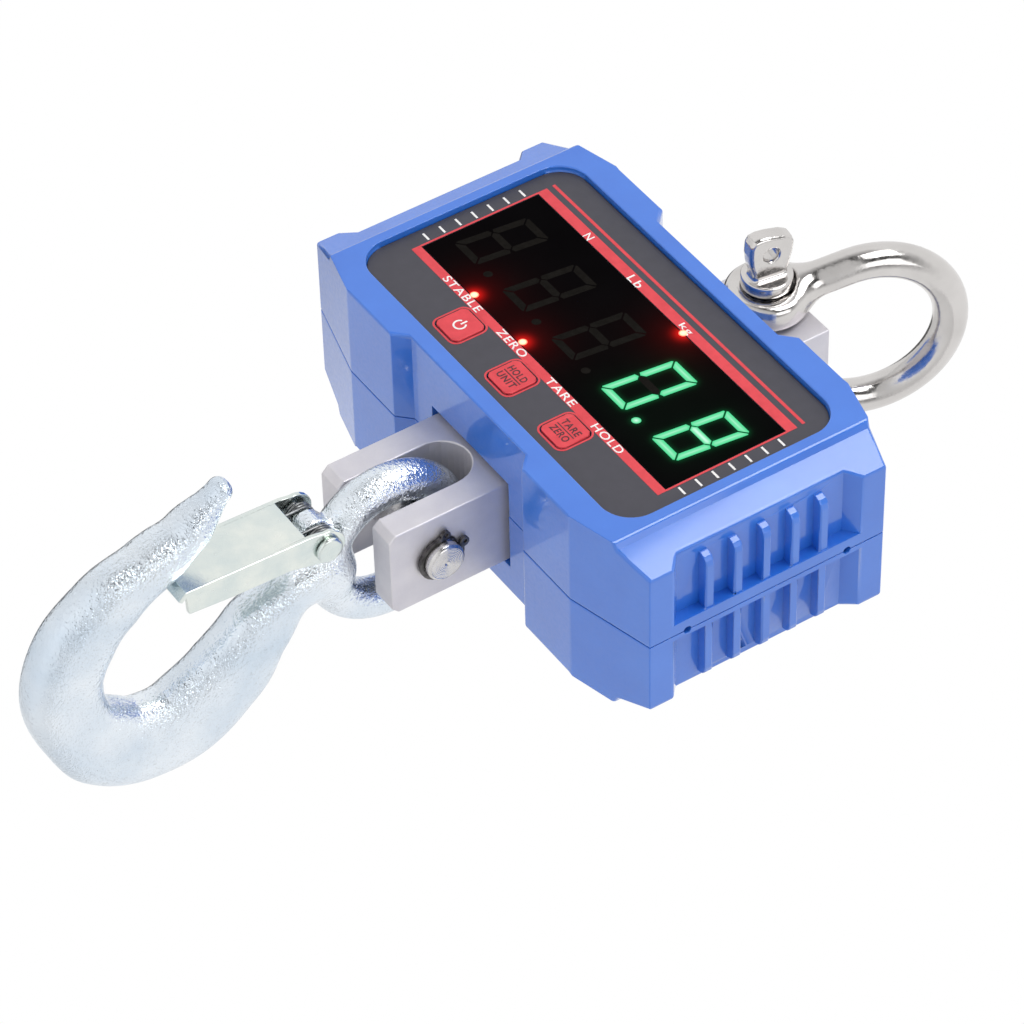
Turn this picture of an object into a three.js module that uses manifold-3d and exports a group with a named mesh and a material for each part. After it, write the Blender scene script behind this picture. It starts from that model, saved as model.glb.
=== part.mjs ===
// Crane scale: a hanging load cell in a two-shell housing, with a hook below and a bow shackle above.
// Units are millimetres. The scale is drawn lying on its back: x runs along the housing, y runs up the
// line of pull from the hook to the shackle, and z comes out of the display. z = 0 is the plane where
// the two housing shells meet. The last lines stand it up, so that the exported +Z is up the line of
// pull, the display looks along -Y and the origin is where the crane's hook bears on the shackle.
import * as THREE from 'three';
import Module from 'manifold-3d';
import { mergeVertices } from 'three/addons/utils/BufferGeometryUtils.js';
import { ParametricGeometry } from 'three/addons/geometries/ParametricGeometry.js';

const wasm = await Module();
wasm.setup();

// ---------------------------------------------------------------- driving dimensions
const GAP = 0.3;                 // between pieces that touch on the real scale

// housing
const END_X = 76.3;              // half length over the end faces
const END_Y = 35.8;              // half height of an end face
const LOBE_Y = 42.3;             // half height over the four shoulders
const LOBE_X = 50.9;             // where a shoulder's front starts to slope towards the end face
const WAIST_Y = 38.5;            // half height of the waist that the load cell comes out of
const WAIST_X = 26;
const FLANK_X = 30;              // the 45 degree flank between waist and shoulder ends here
const FRONT_Z = 28.8;
const BACK_Z = -27.4;
const CREST_X = 64.8;            // the flat front ends here and the sloping end begins
const CREST_STEP = 2;
const END_TOP_Z = 23.2;          // height of the end face's front edge
const WALL = 3;
const CAVITY_X = 69.8;
const CAVITY_Z = 24.2;           // inside of the front plate
const FLOOR_Z = BACK_Z + WALL;

// finger grips in the end faces
const GRIP_DEPTH = 3.7;
const GRIP_Y = 28.5;
const GRIP_FLOOR_Y = 25.2;
const GRIP_SILL = 3.6;           // front shell's rim below its grip
const GRIP_SILL_BACK = 1.8;
const GRIP_RIB = 2.4;
const GRIP_RIB_PITCH = 8.7;
const GRIP_RIB_TOP = 20.6;        // height where a rib's nose ends
const GRIP_RIBS = 5;

// front panel
const PANEL_X = 61.4;
const PANEL_Y = 33.7;
const PANEL_R = 9;
const FILM_Z = 27.1;
const FILM = 0.5;
const WINDOW = { x0: -55.3, x1: 55.3, y0: -16.5, y1: 20.1 };
const KEY_PITCH = 24;
const KEY_Y = -25;
const KEY_SIZE = 9.8;
const KEY_STAND = 0.35;          // how far a key stands above the film
const KEY_TRAVEL = 0.4;
const LAMP_Y = { lower: -14.6, upper: 18.4 };
const LAMP_PITCH = 21.9;
const LAMP_R = 1.5;
const DIGITS = 5;
const DIGIT_PITCH = 22.4;
const DIGIT_Y = 2;

// load cell
const CELL_X = 16;               // half width
const CELL_Z = -3.8;             // height of its axis
const CELL_H = 13.4;             // half height
const CELL_BOTTOM = -73;
const CELL_TOP = 63.2;
const SLOT = 8;                  // half width of the fork's slot
const SLOT_END = -39.2;
const PIN_Y = -58.5;             // hook pin
const PIN_R = 5.5;

// hook
const EYE = new THREE.Vector3(0, -64.5, -7.6);   // centre of the hook's eye
const EYE_R = 18.5;
const EYE_ROD = 5.6;

// shackle
const SHACKLE_Y = 54.3;          // its pin's height
const SHACKLE_TILT = THREE.MathUtils.degToRad(19.4);
const SHACKLE_PIN_R = 6;
const COLLAR_R = 6.95;           // shackle pin's collar
const COLLAR_H = 3.6;
const BOW_R = 23.6;              // radius of the bow's centre line
const BOW_C = 27.4;              // distance from pin to the bow's centre
const ROD_R = 5;
const LUG_R = 11.3;
const LUG_IN = CELL_H + 0.6;
const LUG_OUT = CELL_H + 9;

// ---------------------------------------------------------------- materials
const paint = (color, roughness = 0.3, metalness = 0) =>
  new THREE.MeshStandardMaterial({ color, roughness, metalness });
const blue = paint(0x5f8ce4, 0.25);
const film = paint(0x56575c, 0.45);
const tinted = paint(0x0e0e0e, 0.12);
const red = paint(0xec505a, 0.4);
const aluminium = paint(0xc8c6cd, 0.35, 1);
const zinc = paint(0xc8d4de, 0.4, 1);
const stainless = paint(0xc8c3c0, 0.12, 1);
const blackSteel = paint(0x1c1c1e, 0.4, 0.8);
const blackPlastic = paint(0x202022, 0.5);
const rubber = paint(0x161616, 0.8);
const board = paint(0x1f5c38, 0.5);
const resin = paint(0xd8d2c0, 0.4);
const lampRed = paint(0xff5040, 0.3);
const sleeve = paint(0x2f6f9e, 0.4);

// ---------------------------------------------------------------- shape helpers
const scale = new THREE.Group();
scale.name = 'crane_scale';

// closed geometry -> manifold solid: shared corners merged, zero-area triangles at poles dropped
function solid(geometry) {
  const bare = geometry.clone();
  bare.deleteAttribute('normal');
  bare.deleteAttribute('uv');
  const merged = mergeVertices(bare, 1e-4);
  const index = Array.from(merged.index.array);
  const kept = [];
  for (let i = 0; i < index.length; i += 3) {
    const [a, b, c] = index.slice(i, i + 3);
    if (a !== b && b !== c && c !== a) kept.push(a, b, c);
  }
  const mesh = new wasm.Mesh({
    numProp: 3,
    vertProperties: new Float32Array(merged.attributes.position.array),
    triVerts: new Uint32Array(kept),
  });
  return new wasm.Manifold(mesh);
}

// manifold solid -> three.js geometry
function geometryOf(body) {
  const mesh = body.getMesh();
  const geometry = new THREE.BufferGeometry();
  geometry.setAttribute('position', new THREE.BufferAttribute(new Float32Array(mesh.vertProperties), 3));
  geometry.setIndex(new THREE.BufferAttribute(new Uint32Array(mesh.triVerts), 1));
  return geometry;
}

const join = (first, ...rest) => rest.reduce((a, b) => a.add(solid(b)), solid(first));
const cut = (body, ...tools) => tools.reduce((a, b) => a.subtract(solid(b)), body);

function piece(name, body, material) {
  const geometry = body.isBufferGeometry ? body : geometryOf(body);
  const mesh = new THREE.Mesh(geometry, material);
  mesh.name = name;
  scale.add(mesh);
  return mesh;
}

// box between two corners
function box(x0, x1, y0, y1, z0, z1) {
  const geometry = new THREE.BoxGeometry(x1 - x0, y1 - y0, z1 - z0);
  return geometry.translate((x0 + x1) / 2, (y0 + y1) / 2, (z0 + z1) / 2);
}

// flat shape in x, y raised from z0 to z1
function prism(shape, z0, z1, curveSegments = 3) {
  const geometry = new THREE.ExtrudeGeometry(shape, { depth: z1 - z0, bevelEnabled: false, curveSegments });
  return geometry.translate(0, 0, z0);
}

function rodZ(r, x, y, z0, z1, sides = 24) {
  const geometry = new THREE.CylinderGeometry(r, r, z1 - z0, sides).rotateX(Math.PI / 2);
  return geometry.translate(x, y, (z0 + z1) / 2);
}

function rodX(r, y, z, x0, x1, sides = 24) {
  const geometry = new THREE.CylinderGeometry(r, r, x1 - x0, sides).rotateZ(Math.PI / 2);
  return geometry.translate((x0 + x1) / 2, y, z);
}

function rodY(r, x, z, y0, y1, sides = 24) {
  return new THREE.CylinderGeometry(r, r, y1 - y0, sides).translate(x, (y0 + y1) / 2, z);
}

// turned piece: profile of [radius, height] pairs that starts and ends on the axis, axis along z
function turned(profile, x, y, sides = 28) {
  const points = profile.map(([r, h]) => new THREE.Vector2(r, h));
  return new THREE.LatheGeometry(points, sides).rotateX(Math.PI / 2).translate(x, y, 0);
}

// rounded rectangle about a centre
function roundedRect(cx, cy, halfX, halfY, r) {
  const shape = new THREE.Shape();
  shape.absarc(cx + halfX - r, cy + halfY - r, r, 0, Math.PI / 2);
  shape.absarc(cx - halfX + r, cy + halfY - r, r, Math.PI / 2, Math.PI);
  shape.absarc(cx - halfX + r, cy - halfY + r, r, Math.PI, Math.PI * 1.5);
  shape.absarc(cx + halfX - r, cy - halfY + r, r, Math.PI * 1.5, Math.PI * 2);
  shape.closePath();
  return shape;
}

// tube that follows a curve, closed at both ends
function tube(curve, r, steps, sides) {
  const section = new THREE.Shape();
  section.absarc(0, 0, r, 0, Math.PI * 2);
  return new THREE.ExtrudeGeometry(section, {
    steps,
    extrudePath: curve,
    curveSegments: sides,
    bevelEnabled: false,
  });
}

// sweep with a rounded section whose half width and half thickness change along the curve.
// The curve lies in the plane x = 0, the width lies in that plane and the thickness runs along x.
// The first and last rows shrink to a point, so the surface closes on itself.
function forging(curve, halfWidth, halfThick, rows, around, squareness) {
  const point = new THREE.Vector3();
  const tangent = new THREE.Vector3();
  const round = (v) => Math.sign(v) * Math.abs(v) ** (2 / squareness);
  const surface = (u, v, target) => {
    const row = Math.round(v * rows);
    const t = THREE.MathUtils.clamp((row - 1) / (rows - 2), 0, 1);
    const closed = row === 0 || row === rows ? 0 : 1;
    curve.getPointAt(t, point);
    curve.getTangentAt(t, tangent);
    const angle = u * Math.PI * 2;
    const w = halfWidth(t) * round(Math.cos(angle)) * closed;
    const h = halfThick(t) * round(Math.sin(angle)) * closed;
    target.set(h, point.y - tangent.z * w, point.z + tangent.y * w);
  };
  return new ParametricGeometry(surface, around, rows);
}

// ---------------------------------------------------------------- housing
// plan of the housing, moved inwards by inset
function housingPlan(inset = 0, endX = END_X - inset) {
  const slope = (LOBE_Y - END_Y) / (END_X - LOBE_X);
  const lobeX = LOBE_X - 0.125 * inset;
  const lobeY = LOBE_Y - inset;
  const endY = lobeY - (endX - lobeX) * slope;
  const flank = 0.41 * inset;
  const quarter = [
    [endX, endY],
    [lobeX, lobeY],
    [FLANK_X + flank, lobeY],
    [WAIST_X + flank, WAIST_Y - inset],
  ];
  const mirrored = quarter.map(([x, y]) => [-x, y]).reverse();
  const upper = [...quarter, ...mirrored];
  const lower = upper.map(([x, y]) => [-x, -y]);
  return new THREE.Shape([...upper, ...lower].map(([x, y]) => new THREE.Vector2(x, y)));
}

// side view of the housing's solid: flat face, a short step at each crest, then the sloping end
function sideProfile(face, side) {
  const crestZ = face - side * CREST_STEP;
  const endZ = side * END_TOP_Z + (side < 0 ? 1 : 0);
  const half = [
    [END_X + 1, 0],
    [END_X + 1, endZ - side * 0.3],
    [CREST_X + 1, crestZ],
    [CREST_X, face],
  ];
  const mirrored = half.map(([x, z]) => [-x, z]).reverse();
  const shape = new THREE.Shape([...half, ...mirrored].map(([x, z]) => new THREE.Vector2(x, z)));
  const geometry = new THREE.ExtrudeGeometry(shape, { depth: 2 * LOBE_Y + 4, bevelEnabled: false });
  return geometry.rotateX(Math.PI / 2).translate(0, LOBE_Y + 2, 0);
}

// the finger grip in one end face: a scoop with sloping sides, and the ribs that stand in it
function gripScoop(end, z0, z1) {
  const floorX = END_X - GRIP_DEPTH;
  const mouth = GRIP_Y + 0.9;
  const corners = [[floorX, -GRIP_FLOOR_Y], [END_X + 1, -mouth], [END_X + 1, mouth], [floorX, GRIP_FLOOR_Y]];
  return prism(new THREE.Shape(corners.map(([x, y]) => new THREE.Vector2(end * x, y))), z0, z1);
}

function gripRibs(end, sill, reach) {
  const side = Math.sign(reach);
  const floorX = END_X - GRIP_DEPTH - 0.5;
  const [frontX, topZ] = [END_X - 0.5, side * GRIP_RIB_TOP];
  const r = GRIP_DEPTH - 1;
  const rib = new THREE.Shape();
  rib.moveTo(floorX, sill - side * 0.1);
  rib.lineTo(frontX, sill - side * 0.1);
  rib.lineTo(frontX, topZ - side * r);
  rib.quadraticCurveTo(frontX, topZ, frontX - r, topZ + side * 0.4);
  rib.lineTo(floorX, topZ + side * 0.4);
  rib.closePath();
  const ribs = [];
  for (let i = 0; i < GRIP_RIBS; i += 1) {
    const y = (i - (GRIP_RIBS - 1) / 2) * GRIP_RIB_PITCH;
    const flat = prism(rib, -GRIP_RIB / 2, GRIP_RIB / 2).rotateX(Math.PI / 2);
    ribs.push((end > 0 ? flat : flat.rotateZ(Math.PI)).translate(0, y, 0));
  }
  return ribs;
}

// outside of one shell with its grips
function shellBody(z0, z1, profile, sill, reach) {
  const outside = solid(prism(housingPlan(), z0, z1)).intersect(solid(profile));
  let shell = outside;
  for (const end of [-1, 1]) {
    const [low, high] = [Math.min(sill, reach), Math.max(sill, reach)];
    shell = cut(shell, gripScoop(end, low, high));
    for (const rib of gripRibs(end, sill, reach)) shell = shell.add(solid(rib).intersect(outside));
  }
  return shell;
}

const BOSSES = [[61, 31.6], [-61, 31.6], [-61, -31.6], [61, -31.6]];
const BOSS_R = 3.9;
const CELL_SCREWS = [[-9, 26], [9, 26]];
const SOCKET_X = -44;             // charging socket in the back
const SOCKET_R = 5.5;

// opening in both waists that the load cell passes through
function cellOpening(z0, z1) {
  return box(-CELL_X - 1.6, CELL_X + 1.6, -LOBE_Y - 1, LOBE_Y + 1, z0, z1);
}

function prySlots(z0, z1) {
  const ends = [-1, 1];
  return ends.flatMap((end) => ends.map((side) =>
    rodX(1.1, side * 24.4, 0, end * END_X - 4, end * END_X + 4, 12)));
}

function frontHousing() {
  let shell = shellBody(GAP / 2, FRONT_Z + 1, sideProfile(FRONT_Z, 1), GRIP_SILL, FRONT_Z + 2);
  shell = cut(
    shell,
    prism(housingPlan(WALL, CAVITY_X), -1, 20.5),
    prism(housingPlan(WALL, 62), 20, CAVITY_Z),
    prism(roundedRect(0, 0, PANEL_X, PANEL_Y, PANEL_R), FILM_Z - FILM - 0.2, FRONT_Z + 1, 6),
    box(WINDOW.x0 - GAP, WINDOW.x1 + GAP, WINDOW.y0 - GAP, WINDOW.y1 + GAP, CAVITY_Z - 1, FRONT_Z),
    cellOpening(-1, CELL_Z + CELL_H + 1.5),
    ...prySlots(),
  );
  for (const i of [-1, 0, 1]) {
    const half = KEY_SIZE / 2 + GAP;
    shell = cut(shell, prism(roundedRect(i * KEY_PITCH, KEY_Y, half, half, 2), CAVITY_Z - 1, FRONT_Z));
  }
  for (const [x, y] of BOSSES) {
    shell = shell.add(solid(rodZ(BOSS_R, x, y, 1, CAVITY_Z + 0.5, 12)));
    shell = cut(shell, rodZ(1.5, x, y, -1, 16, 10));
  }
  return shell;
}

function rearHousing() {
  let shell = shellBody(BACK_Z - 1, -GAP / 2, sideProfile(BACK_Z, -1), -GRIP_SILL_BACK, BACK_Z - 2);
  shell = cut(
    shell,
    prism(housingPlan(WALL, CAVITY_X), -19.5, 1),
    prism(housingPlan(WALL, 62), FLOOR_Z, -19),
    cellOpening(CELL_Z - CELL_H - 1, 1),
    rodZ(SOCKET_R + GAP, SOCKET_X, 0, BACK_Z - 1, FLOOR_Z + 1, 20),
    ...prySlots(),
  );
  for (const [x, y] of BOSSES) {
    shell = shell.add(solid(rodZ(BOSS_R, x, y, FLOOR_Z - 0.5, -1, 12)));
    shell = cut(shell, rodZ(1.8, x, y, BACK_Z - 1, 1, 10), rodZ(3.2, x, y, BACK_Z - 1, BACK_Z + 3, 14));
  }
  for (const [x, y] of CELL_SCREWS) {
    shell = shell.add(solid(rodZ(6.4, x, y, FLOOR_Z - 0.5, CELL_Z - CELL_H - GAP, 16)));
    shell = cut(shell, rodZ(2.8, x, y, BACK_Z - 1, 1, 12), rodZ(4.8, x, y, BACK_Z - 1, BACK_Z + 4, 16));
  }
  return shell;
}

// a screw that goes in from the back: head at z = head, shank up to z = tip
function screw(x, y, head, tip, headR, shankR, headDepth) {
  const body = join(rodZ(headR, x, y, head, head + headDepth, 16), rodZ(shankR, x, y, head + headDepth - 0.5, tip, 10));
  return cut(body, new THREE.CylinderGeometry(headR * 0.48, headR * 0.48, headDepth, 6)
    .rotateX(Math.PI / 2).translate(x, y, head));
}

// ---------------------------------------------------------------- front panel
function keyX(i) {
  return (i - 1) * KEY_PITCH;
}

function lampPlaces() {
  const lower = [-1.5, -0.5, 0.5, 1.5].map((k) => [k * LAMP_PITCH + 1.3, LAMP_Y.lower]);
  const upper = [-1, 0, 1].map((k) => [k * LAMP_PITCH - 11.5, LAMP_Y.upper]);
  return [...lower, ...upper];
}

function overlayFilm() {
  const z0 = FILM_Z - FILM;
  const outline = roundedRect(0, 0, PANEL_X - GAP, PANEL_Y - GAP, PANEL_R - GAP);
  const body = solid(prism(outline, z0, FILM_Z, 6));
  const holes = [box(WINDOW.x0, WINDOW.x1, WINDOW.y0, WINDOW.y1, z0 - 1, FILM_Z + 1)];
  for (const i of [0, 1, 2]) {
    const half = KEY_SIZE / 2 + GAP;
    holes.push(prism(roundedRect(keyX(i), KEY_Y, half, half, 2), z0 - 1, FILM_Z + 1));
  }
  return cut(body, ...holes);
}

// key: square cap through the panel, a flange that keeps it in, and a stem down to its switch
function key(i) {
  const half = KEY_SIZE / 2;
  const cap = prism(roundedRect(keyX(i), KEY_Y, half, half, 1.8), 23, FILM_Z + KEY_STAND);
  const flange = box(keyX(i) - half - 1, keyX(i) + half + 1, KEY_Y - half - 1, KEY_Y + half + 1, 22.3, 23.5);
  return join(cap, flange, rodZ(2, keyX(i), KEY_Y, SWITCH_TOP + KEY_TRAVEL + 0.2, 22.8, 12));
}

// ---------------------------------------------------------------- electronics
const BOARD_Z0 = 11.6;
const BOARD_Z1 = 13.2;
const SWITCH_TOP = 18.5;
const MODULE_TOP = 24;

function mainBoard() {
  const body = solid(box(-56, 56, -31, 24, BOARD_Z0, BOARD_Z1));
  const holes = [-52, 52].map((x) => rodZ(1.6, x, 20, BOARD_Z0 - 1, BOARD_Z1 + 1, 12));
  return cut(body, ...holes);
}

function digitModule(i) {
  const x = (i - (DIGITS - 1) / 2) * DIGIT_PITCH;
  return box(x - 10, x + 10, DIGIT_Y - 13.9, DIGIT_Y + 13.9, BOARD_Z1 + GAP, MODULE_TOP);
}

function lamp(x, y) {
  return turned([[0, BOARD_Z1 + GAP], [LAMP_R + 0.4, BOARD_Z1 + GAP], [LAMP_R + 0.4, BOARD_Z1 + 1.3],
    [LAMP_R, BOARD_Z1 + 1.3], [LAMP_R, 22.8], [LAMP_R * 0.7, 23.8], [0, 24.1]], x, y, 10);
}

function tactileSwitch(i) {
  const x = keyX(i);
  const body = box(x - 3, x + 3, KEY_Y - 3, KEY_Y + 3, BOARD_Z1 + GAP, SWITCH_TOP - 1.5);
  return join(body, rodZ(1.7, x, KEY_Y, SWITCH_TOP - 2, SWITCH_TOP, 12));
}

const TRAY = { x0: 20, x1: 65.6, y0: -26.5, y1: 26.5, z0: -19.2 };
const BATTERY_R = 6.9;
const BATTERY_HALF = 25;
const BATTERY_PITCH = 14.4;
const BATTERIES = 3;
const BATTERY_Z = TRAY.z0 + BATTERY_R + 1.4;
const batteryX = (i) => (TRAY.x0 + TRAY.x1) / 2 + (i - 1) * BATTERY_PITCH;

// open tray with a trough for each battery, on four feet
function batteryTray() {
  const top = BATTERY_Z + 1;
  const troughs = [];
  for (let i = 0; i < BATTERIES; i += 1) {
    troughs.push(rodY(BATTERY_R + 0.15, batteryX(i), BATTERY_Z, TRAY.y0 + 1, TRAY.y1 - 1, 20));
  }
  const feet = [];
  for (const x of [TRAY.x0 + 4, 58]) {
    for (const y of [TRAY.y0 + 4, TRAY.y1 - 4]) feet.push(rodZ(2.5, x, y, FLOOR_Z + GAP, TRAY.z0 + 0.5, 12));
  }
  const body = join(box(TRAY.x0, TRAY.x1, TRAY.y0, TRAY.y1, TRAY.z0, top), ...feet);
  return cut(body, ...troughs, box(TRAY.x0 + 1, TRAY.x1 - 1, TRAY.y0 + 1, TRAY.y1 - 1, BATTERY_Z, top + 1));
}

function battery(i) {
  const [r, end, nub] = [BATTERY_R - 0.1, BATTERY_HALF - 1.2, 2.7];
  const profile = [[0, -BATTERY_HALF], [r, -BATTERY_HALF], [r, end], [nub, end], [nub, BATTERY_HALF],
    [0, BATTERY_HALF]];
  const points = profile.map(([x, y]) => new THREE.Vector2(x, y));
  return new THREE.LatheGeometry(points, 18).translate(batteryX(i), 0, BATTERY_Z);
}

// round charging socket in the back, with a contact pin in its bore
function chargingSocket() {
  const depth = 9;
  const sleeve = solid(rodZ(SOCKET_R, SOCKET_X, 0, BACK_Z + 0.4, BACK_Z + depth, 20));
  const bore = rodZ(2.8, SOCKET_X, 0, BACK_Z, BACK_Z + depth - 1, 16);
  const flange = rodZ(SOCKET_R + 1.6, SOCKET_X, 0, FLOOR_Z + GAP, FLOOR_Z + 2, 20);
  const contact = rodZ(1, SOCKET_X, 0, BACK_Z + 1.5, BACK_Z + depth - 0.5, 10);
  return cut(sleeve.add(solid(flange)), bore).add(solid(contact));
}

// seal strip inside the shells' meeting edge, one on each side of the load cell
function housingSeal(side) {
  const strip = solid(prism(housingPlan(WALL + GAP, CAVITY_X - GAP), -0.7, 0.7))
    .subtract(solid(prism(housingPlan(WALL + 2, CAVITY_X - 2), -2, 2)));
  return cut(strip, side > 0 ? box(-90, 22, -60, 60, -3, 3) : box(-22, 90, -60, 60, -3, 3));
}

// ---------------------------------------------------------------- load cell
const GAUGE_R = 8;
const GAUGE_DEPTH = 9;
const CHAMFER = 1.9;

// 45 degree chamfer across the fork's end, on its front edge or its back edge
function forkChamfer(side) {
  const edge = CELL_Z + side * CELL_H;
  const shape = new THREE.Shape([
    new THREE.Vector2(CELL_BOTTOM - 1, edge + side),
    new THREE.Vector2(CELL_BOTTOM - 1, edge - side * (CHAMFER + 1)),
    new THREE.Vector2(CELL_BOTTOM + CHAMFER + 1, edge + side),
  ]);
  return facingX(prism(shape, -CELL_X - 1, CELL_X + 1));
}

function loadCell() {
  const [z0, z1] = [CELL_Z - CELL_H, CELL_Z + CELL_H];
  const block = solid(box(-CELL_X, CELL_X, CELL_BOTTOM, CELL_TOP, z0, z1));
  const slotFloor = SLOT_END - SLOT;
  const body = cut(
    block,
    box(-SLOT, SLOT, CELL_BOTTOM - 1, slotFloor, z0 - 1, z1 + 1),
    rodZ(SLOT, 0, slotFloor, z0 - 1, z1 + 1, 32),
    rodX(PIN_R + GAP, PIN_Y, CELL_Z, -CELL_X - 1, CELL_X + 1, 28),
    rodZ(SHACKLE_PIN_R + 0.4, 0, SHACKLE_Y, z0 - 1, z1 + 1, 28),
    rodX(GAUGE_R, 0, CELL_Z, GAUGE_DEPTH, CELL_X + 1, 24),
    rodX(GAUGE_R, 0, CELL_Z, -CELL_X - 1, -GAUGE_DEPTH, 24),
    forkChamfer(1),
    forkChamfer(-1),
  );
  const tapped = CELL_SCREWS.map(([x, y]) => rodZ(2.6, x, y, z0 - 1, z0 + 9, 12));
  return cut(body, ...tapped);
}

// resin that seals one gauge pocket
function gaugeResin(side) {
  const [a, b] = [GAUGE_DEPTH + GAP, CELL_X - 0.5];
  return rodX(GAUGE_R - GAP, 0, CELL_Z, Math.min(side * a, side * b), Math.max(side * a, side * b), 24);
}

// ---------------------------------------------------------------- hook pin and its retaining rings
const PIN_OUT = CELL_X + 3.9;
const RING_T = 1.1;
const RING_GROOVE = PIN_R - 0.6;

function hookPin() {
  const groove = CELL_X + GAP;
  const half = [[PIN_R, groove], [RING_GROOVE, groove], [RING_GROOVE, groove + RING_T + 0.3],
    [PIN_R, groove + RING_T + 0.3], [PIN_R, PIN_OUT - 0.7], [PIN_R - 0.7, PIN_OUT], [0, PIN_OUT]];
  const mirrored = half.map(([r, x]) => [r, -x]).reverse();
  const points = [...mirrored, ...half].map(([r, x]) => new THREE.Vector2(r, x));
  return new THREE.LatheGeometry(points, 22).rotateZ(-Math.PI / 2).translate(0, PIN_Y, CELL_Z);
}

// external retaining ring with two lugs, open towards the lugs
function retainingRing(side) {
  const turn = THREE.MathUtils.degToRad(48);
  const [inner, outer] = [RING_GROOVE + 0.15, 6.7];
  const opening = 0.42;
  const shape = new THREE.Shape();
  shape.absarc(0, 0, outer, turn + opening + 0.1, turn - opening - 0.1 + Math.PI * 2);
  shape.absarc(0, 0, inner, turn - opening + Math.PI * 2, turn + opening, true);
  shape.closePath();
  const x0 = side > 0 ? CELL_X + GAP + 0.15 : -CELL_X - GAP - 0.15 - RING_T;
  const flat = prism(shape, 0, RING_T, 12);
  const lugs = [-1, 1].map((k) => {
    const angle = turn + k * (opening + 0.12);
    return rodZ(1.5, Math.cos(angle) * 7.1, Math.sin(angle) * 7.1, 0, RING_T, 10);
  });
  const holes = [-1, 1].map((k) => {
    const angle = turn + k * (opening + 0.12);
    return rodZ(0.6, Math.cos(angle) * 7.3, Math.sin(angle) * 7.3, -1, RING_T + 1, 8);
  });
  const ring = cut(join(flat, ...lugs), ...holes);
  return facingX(geometryOf(ring)).translate(x0, PIN_Y, CELL_Z);
}

// ---------------------------------------------------------------- hook
// turns a shape drawn with y across and z up, raised along z, so that it lies across x
function facingX(geometry) {
  return geometry.rotateY(Math.PI / 2).rotateX(Math.PI / 2);
}

// centre line of the forging, measured from the eye's centre: [y, z]
const HOOK_LINE = [[-16, 0.2], [-26.3, 0.2], [-37.3, -7.3], [-50.4, -20.8], [-65.5, -28.5], [-80.8, -26],
  [-92.2, -13.4], [-94.8, 2], [-89, 15.2], [-78.4, 24.2], [-67.9, 29], [-59.4, 32.7], [-53.2, 37.1],
  [-45.7, 43.9]];
const HOOK_WIDTHS = [5, 6.6, 10.6, 13.2, 14.3, 13.4, 12.7, 11.3, 10.6, 10.4, 9.2, 7.2, 5.6, 3.2];
const HOOK_THICK = 6.8;
const RIVET = { y: EYE.y - 21.8, z: EYE.z + 16, r: 2.4 };

function alongHook(values) {
  const last = values.length - 1;
  return (t) => {
    const s = t * last;
    const i = Math.min(last - 1, Math.floor(s));
    const f = s - i;
    const blend = f * f * (3 - 2 * f);
    return values[i] * (1 - blend) + values[i + 1] * blend;
  };
}

function hook() {
  const line = HOOK_LINE.map(([y, z]) => new THREE.Vector3(0, EYE.y + y, EYE.z + z));
  const curve = new THREE.CatmullRomCurve3(line);
  const width = alongHook(HOOK_WIDTHS);
  const thick = (t) => Math.min(HOOK_THICK, width(t) + 0.6);
  const body = forging(curve, width, thick, 46, 16, 2.7);
  const eye = new THREE.TorusGeometry(EYE_R, EYE_ROD, 12, 32).rotateY(Math.PI / 2).translate(0, EYE.y, EYE.z);
  const lugShape = new THREE.Shape();
  lugShape.absarc(RIVET.y, RIVET.z, 4.3, 0, Math.PI);
  lugShape.lineTo(RIVET.y - 6.5, EYE.z + 2);
  lugShape.lineTo(RIVET.y + 7, EYE.z + 8);
  lugShape.closePath();
  const lug = facingX(prism(lugShape, -LUG_HALF, LUG_HALF, 5));
  return cut(join(body, eye, lug), rodX(RIVET.r + GAP, RIVET.y, RIVET.z, -8, 8, 16));
}

// ---------------------------------------------------------------- safety latch
const LUG_HALF = 3;
const LATCH_HALF = 8.6;
const SHEET = 1.3;
const COIL_R = 3.6;
const WIRE_R = 0.42;
const LATCH_TIP = { y: EYE.y - 62.5, z: EYE.z + 22.2 };

// bent sheet channel: a web that closes the throat, two ears on the rivet and a turned-down lip
function latch() {
  const web = new THREE.Shape();
  const top = EYE.z + 21.8;
  web.moveTo(RIVET.y - 5.4, top - SHEET);
  web.lineTo(RIVET.y - 5.4, top);
  web.lineTo(LATCH_TIP.y, LATCH_TIP.z + 1);
  web.lineTo(LATCH_TIP.y - 2.2, LATCH_TIP.z - 1);
  web.lineTo(LATCH_TIP.y - 1.2, LATCH_TIP.z - 1.9);
  web.lineTo(LATCH_TIP.y + 0.6, LATCH_TIP.z - 0.3);
  web.closePath();
  const ear = new THREE.Shape();
  ear.absarc(RIVET.y, RIVET.z, 5.2, -Math.PI * 0.45, Math.PI * 0.55);
  ear.lineTo(RIVET.y - 4, top);
  ear.lineTo(LATCH_TIP.y, LATCH_TIP.z + 1);
  ear.lineTo(LATCH_TIP.y + 0.4, LATCH_TIP.z - 6.5);
  ear.lineTo(RIVET.y - 27.7, RIVET.z - 1.4);
  ear.lineTo(RIVET.y - 11, RIVET.z - 2);
  ear.lineTo(RIVET.y - 4.6, RIVET.z - 3.6);
  ear.closePath();
  const sides = [-1, 1].map((side) => {
    const x0 = side > 0 ? LATCH_HALF - SHEET : -LATCH_HALF;
    return facingX(prism(ear, x0, x0 + SHEET, 5));
  });
  const body = join(facingX(prism(web, -LATCH_HALF, LATCH_HALF)), ...sides);
  return cut(body, rodX(RIVET.r + GAP, RIVET.y, RIVET.z, -12, 12, 16));
}

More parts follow.
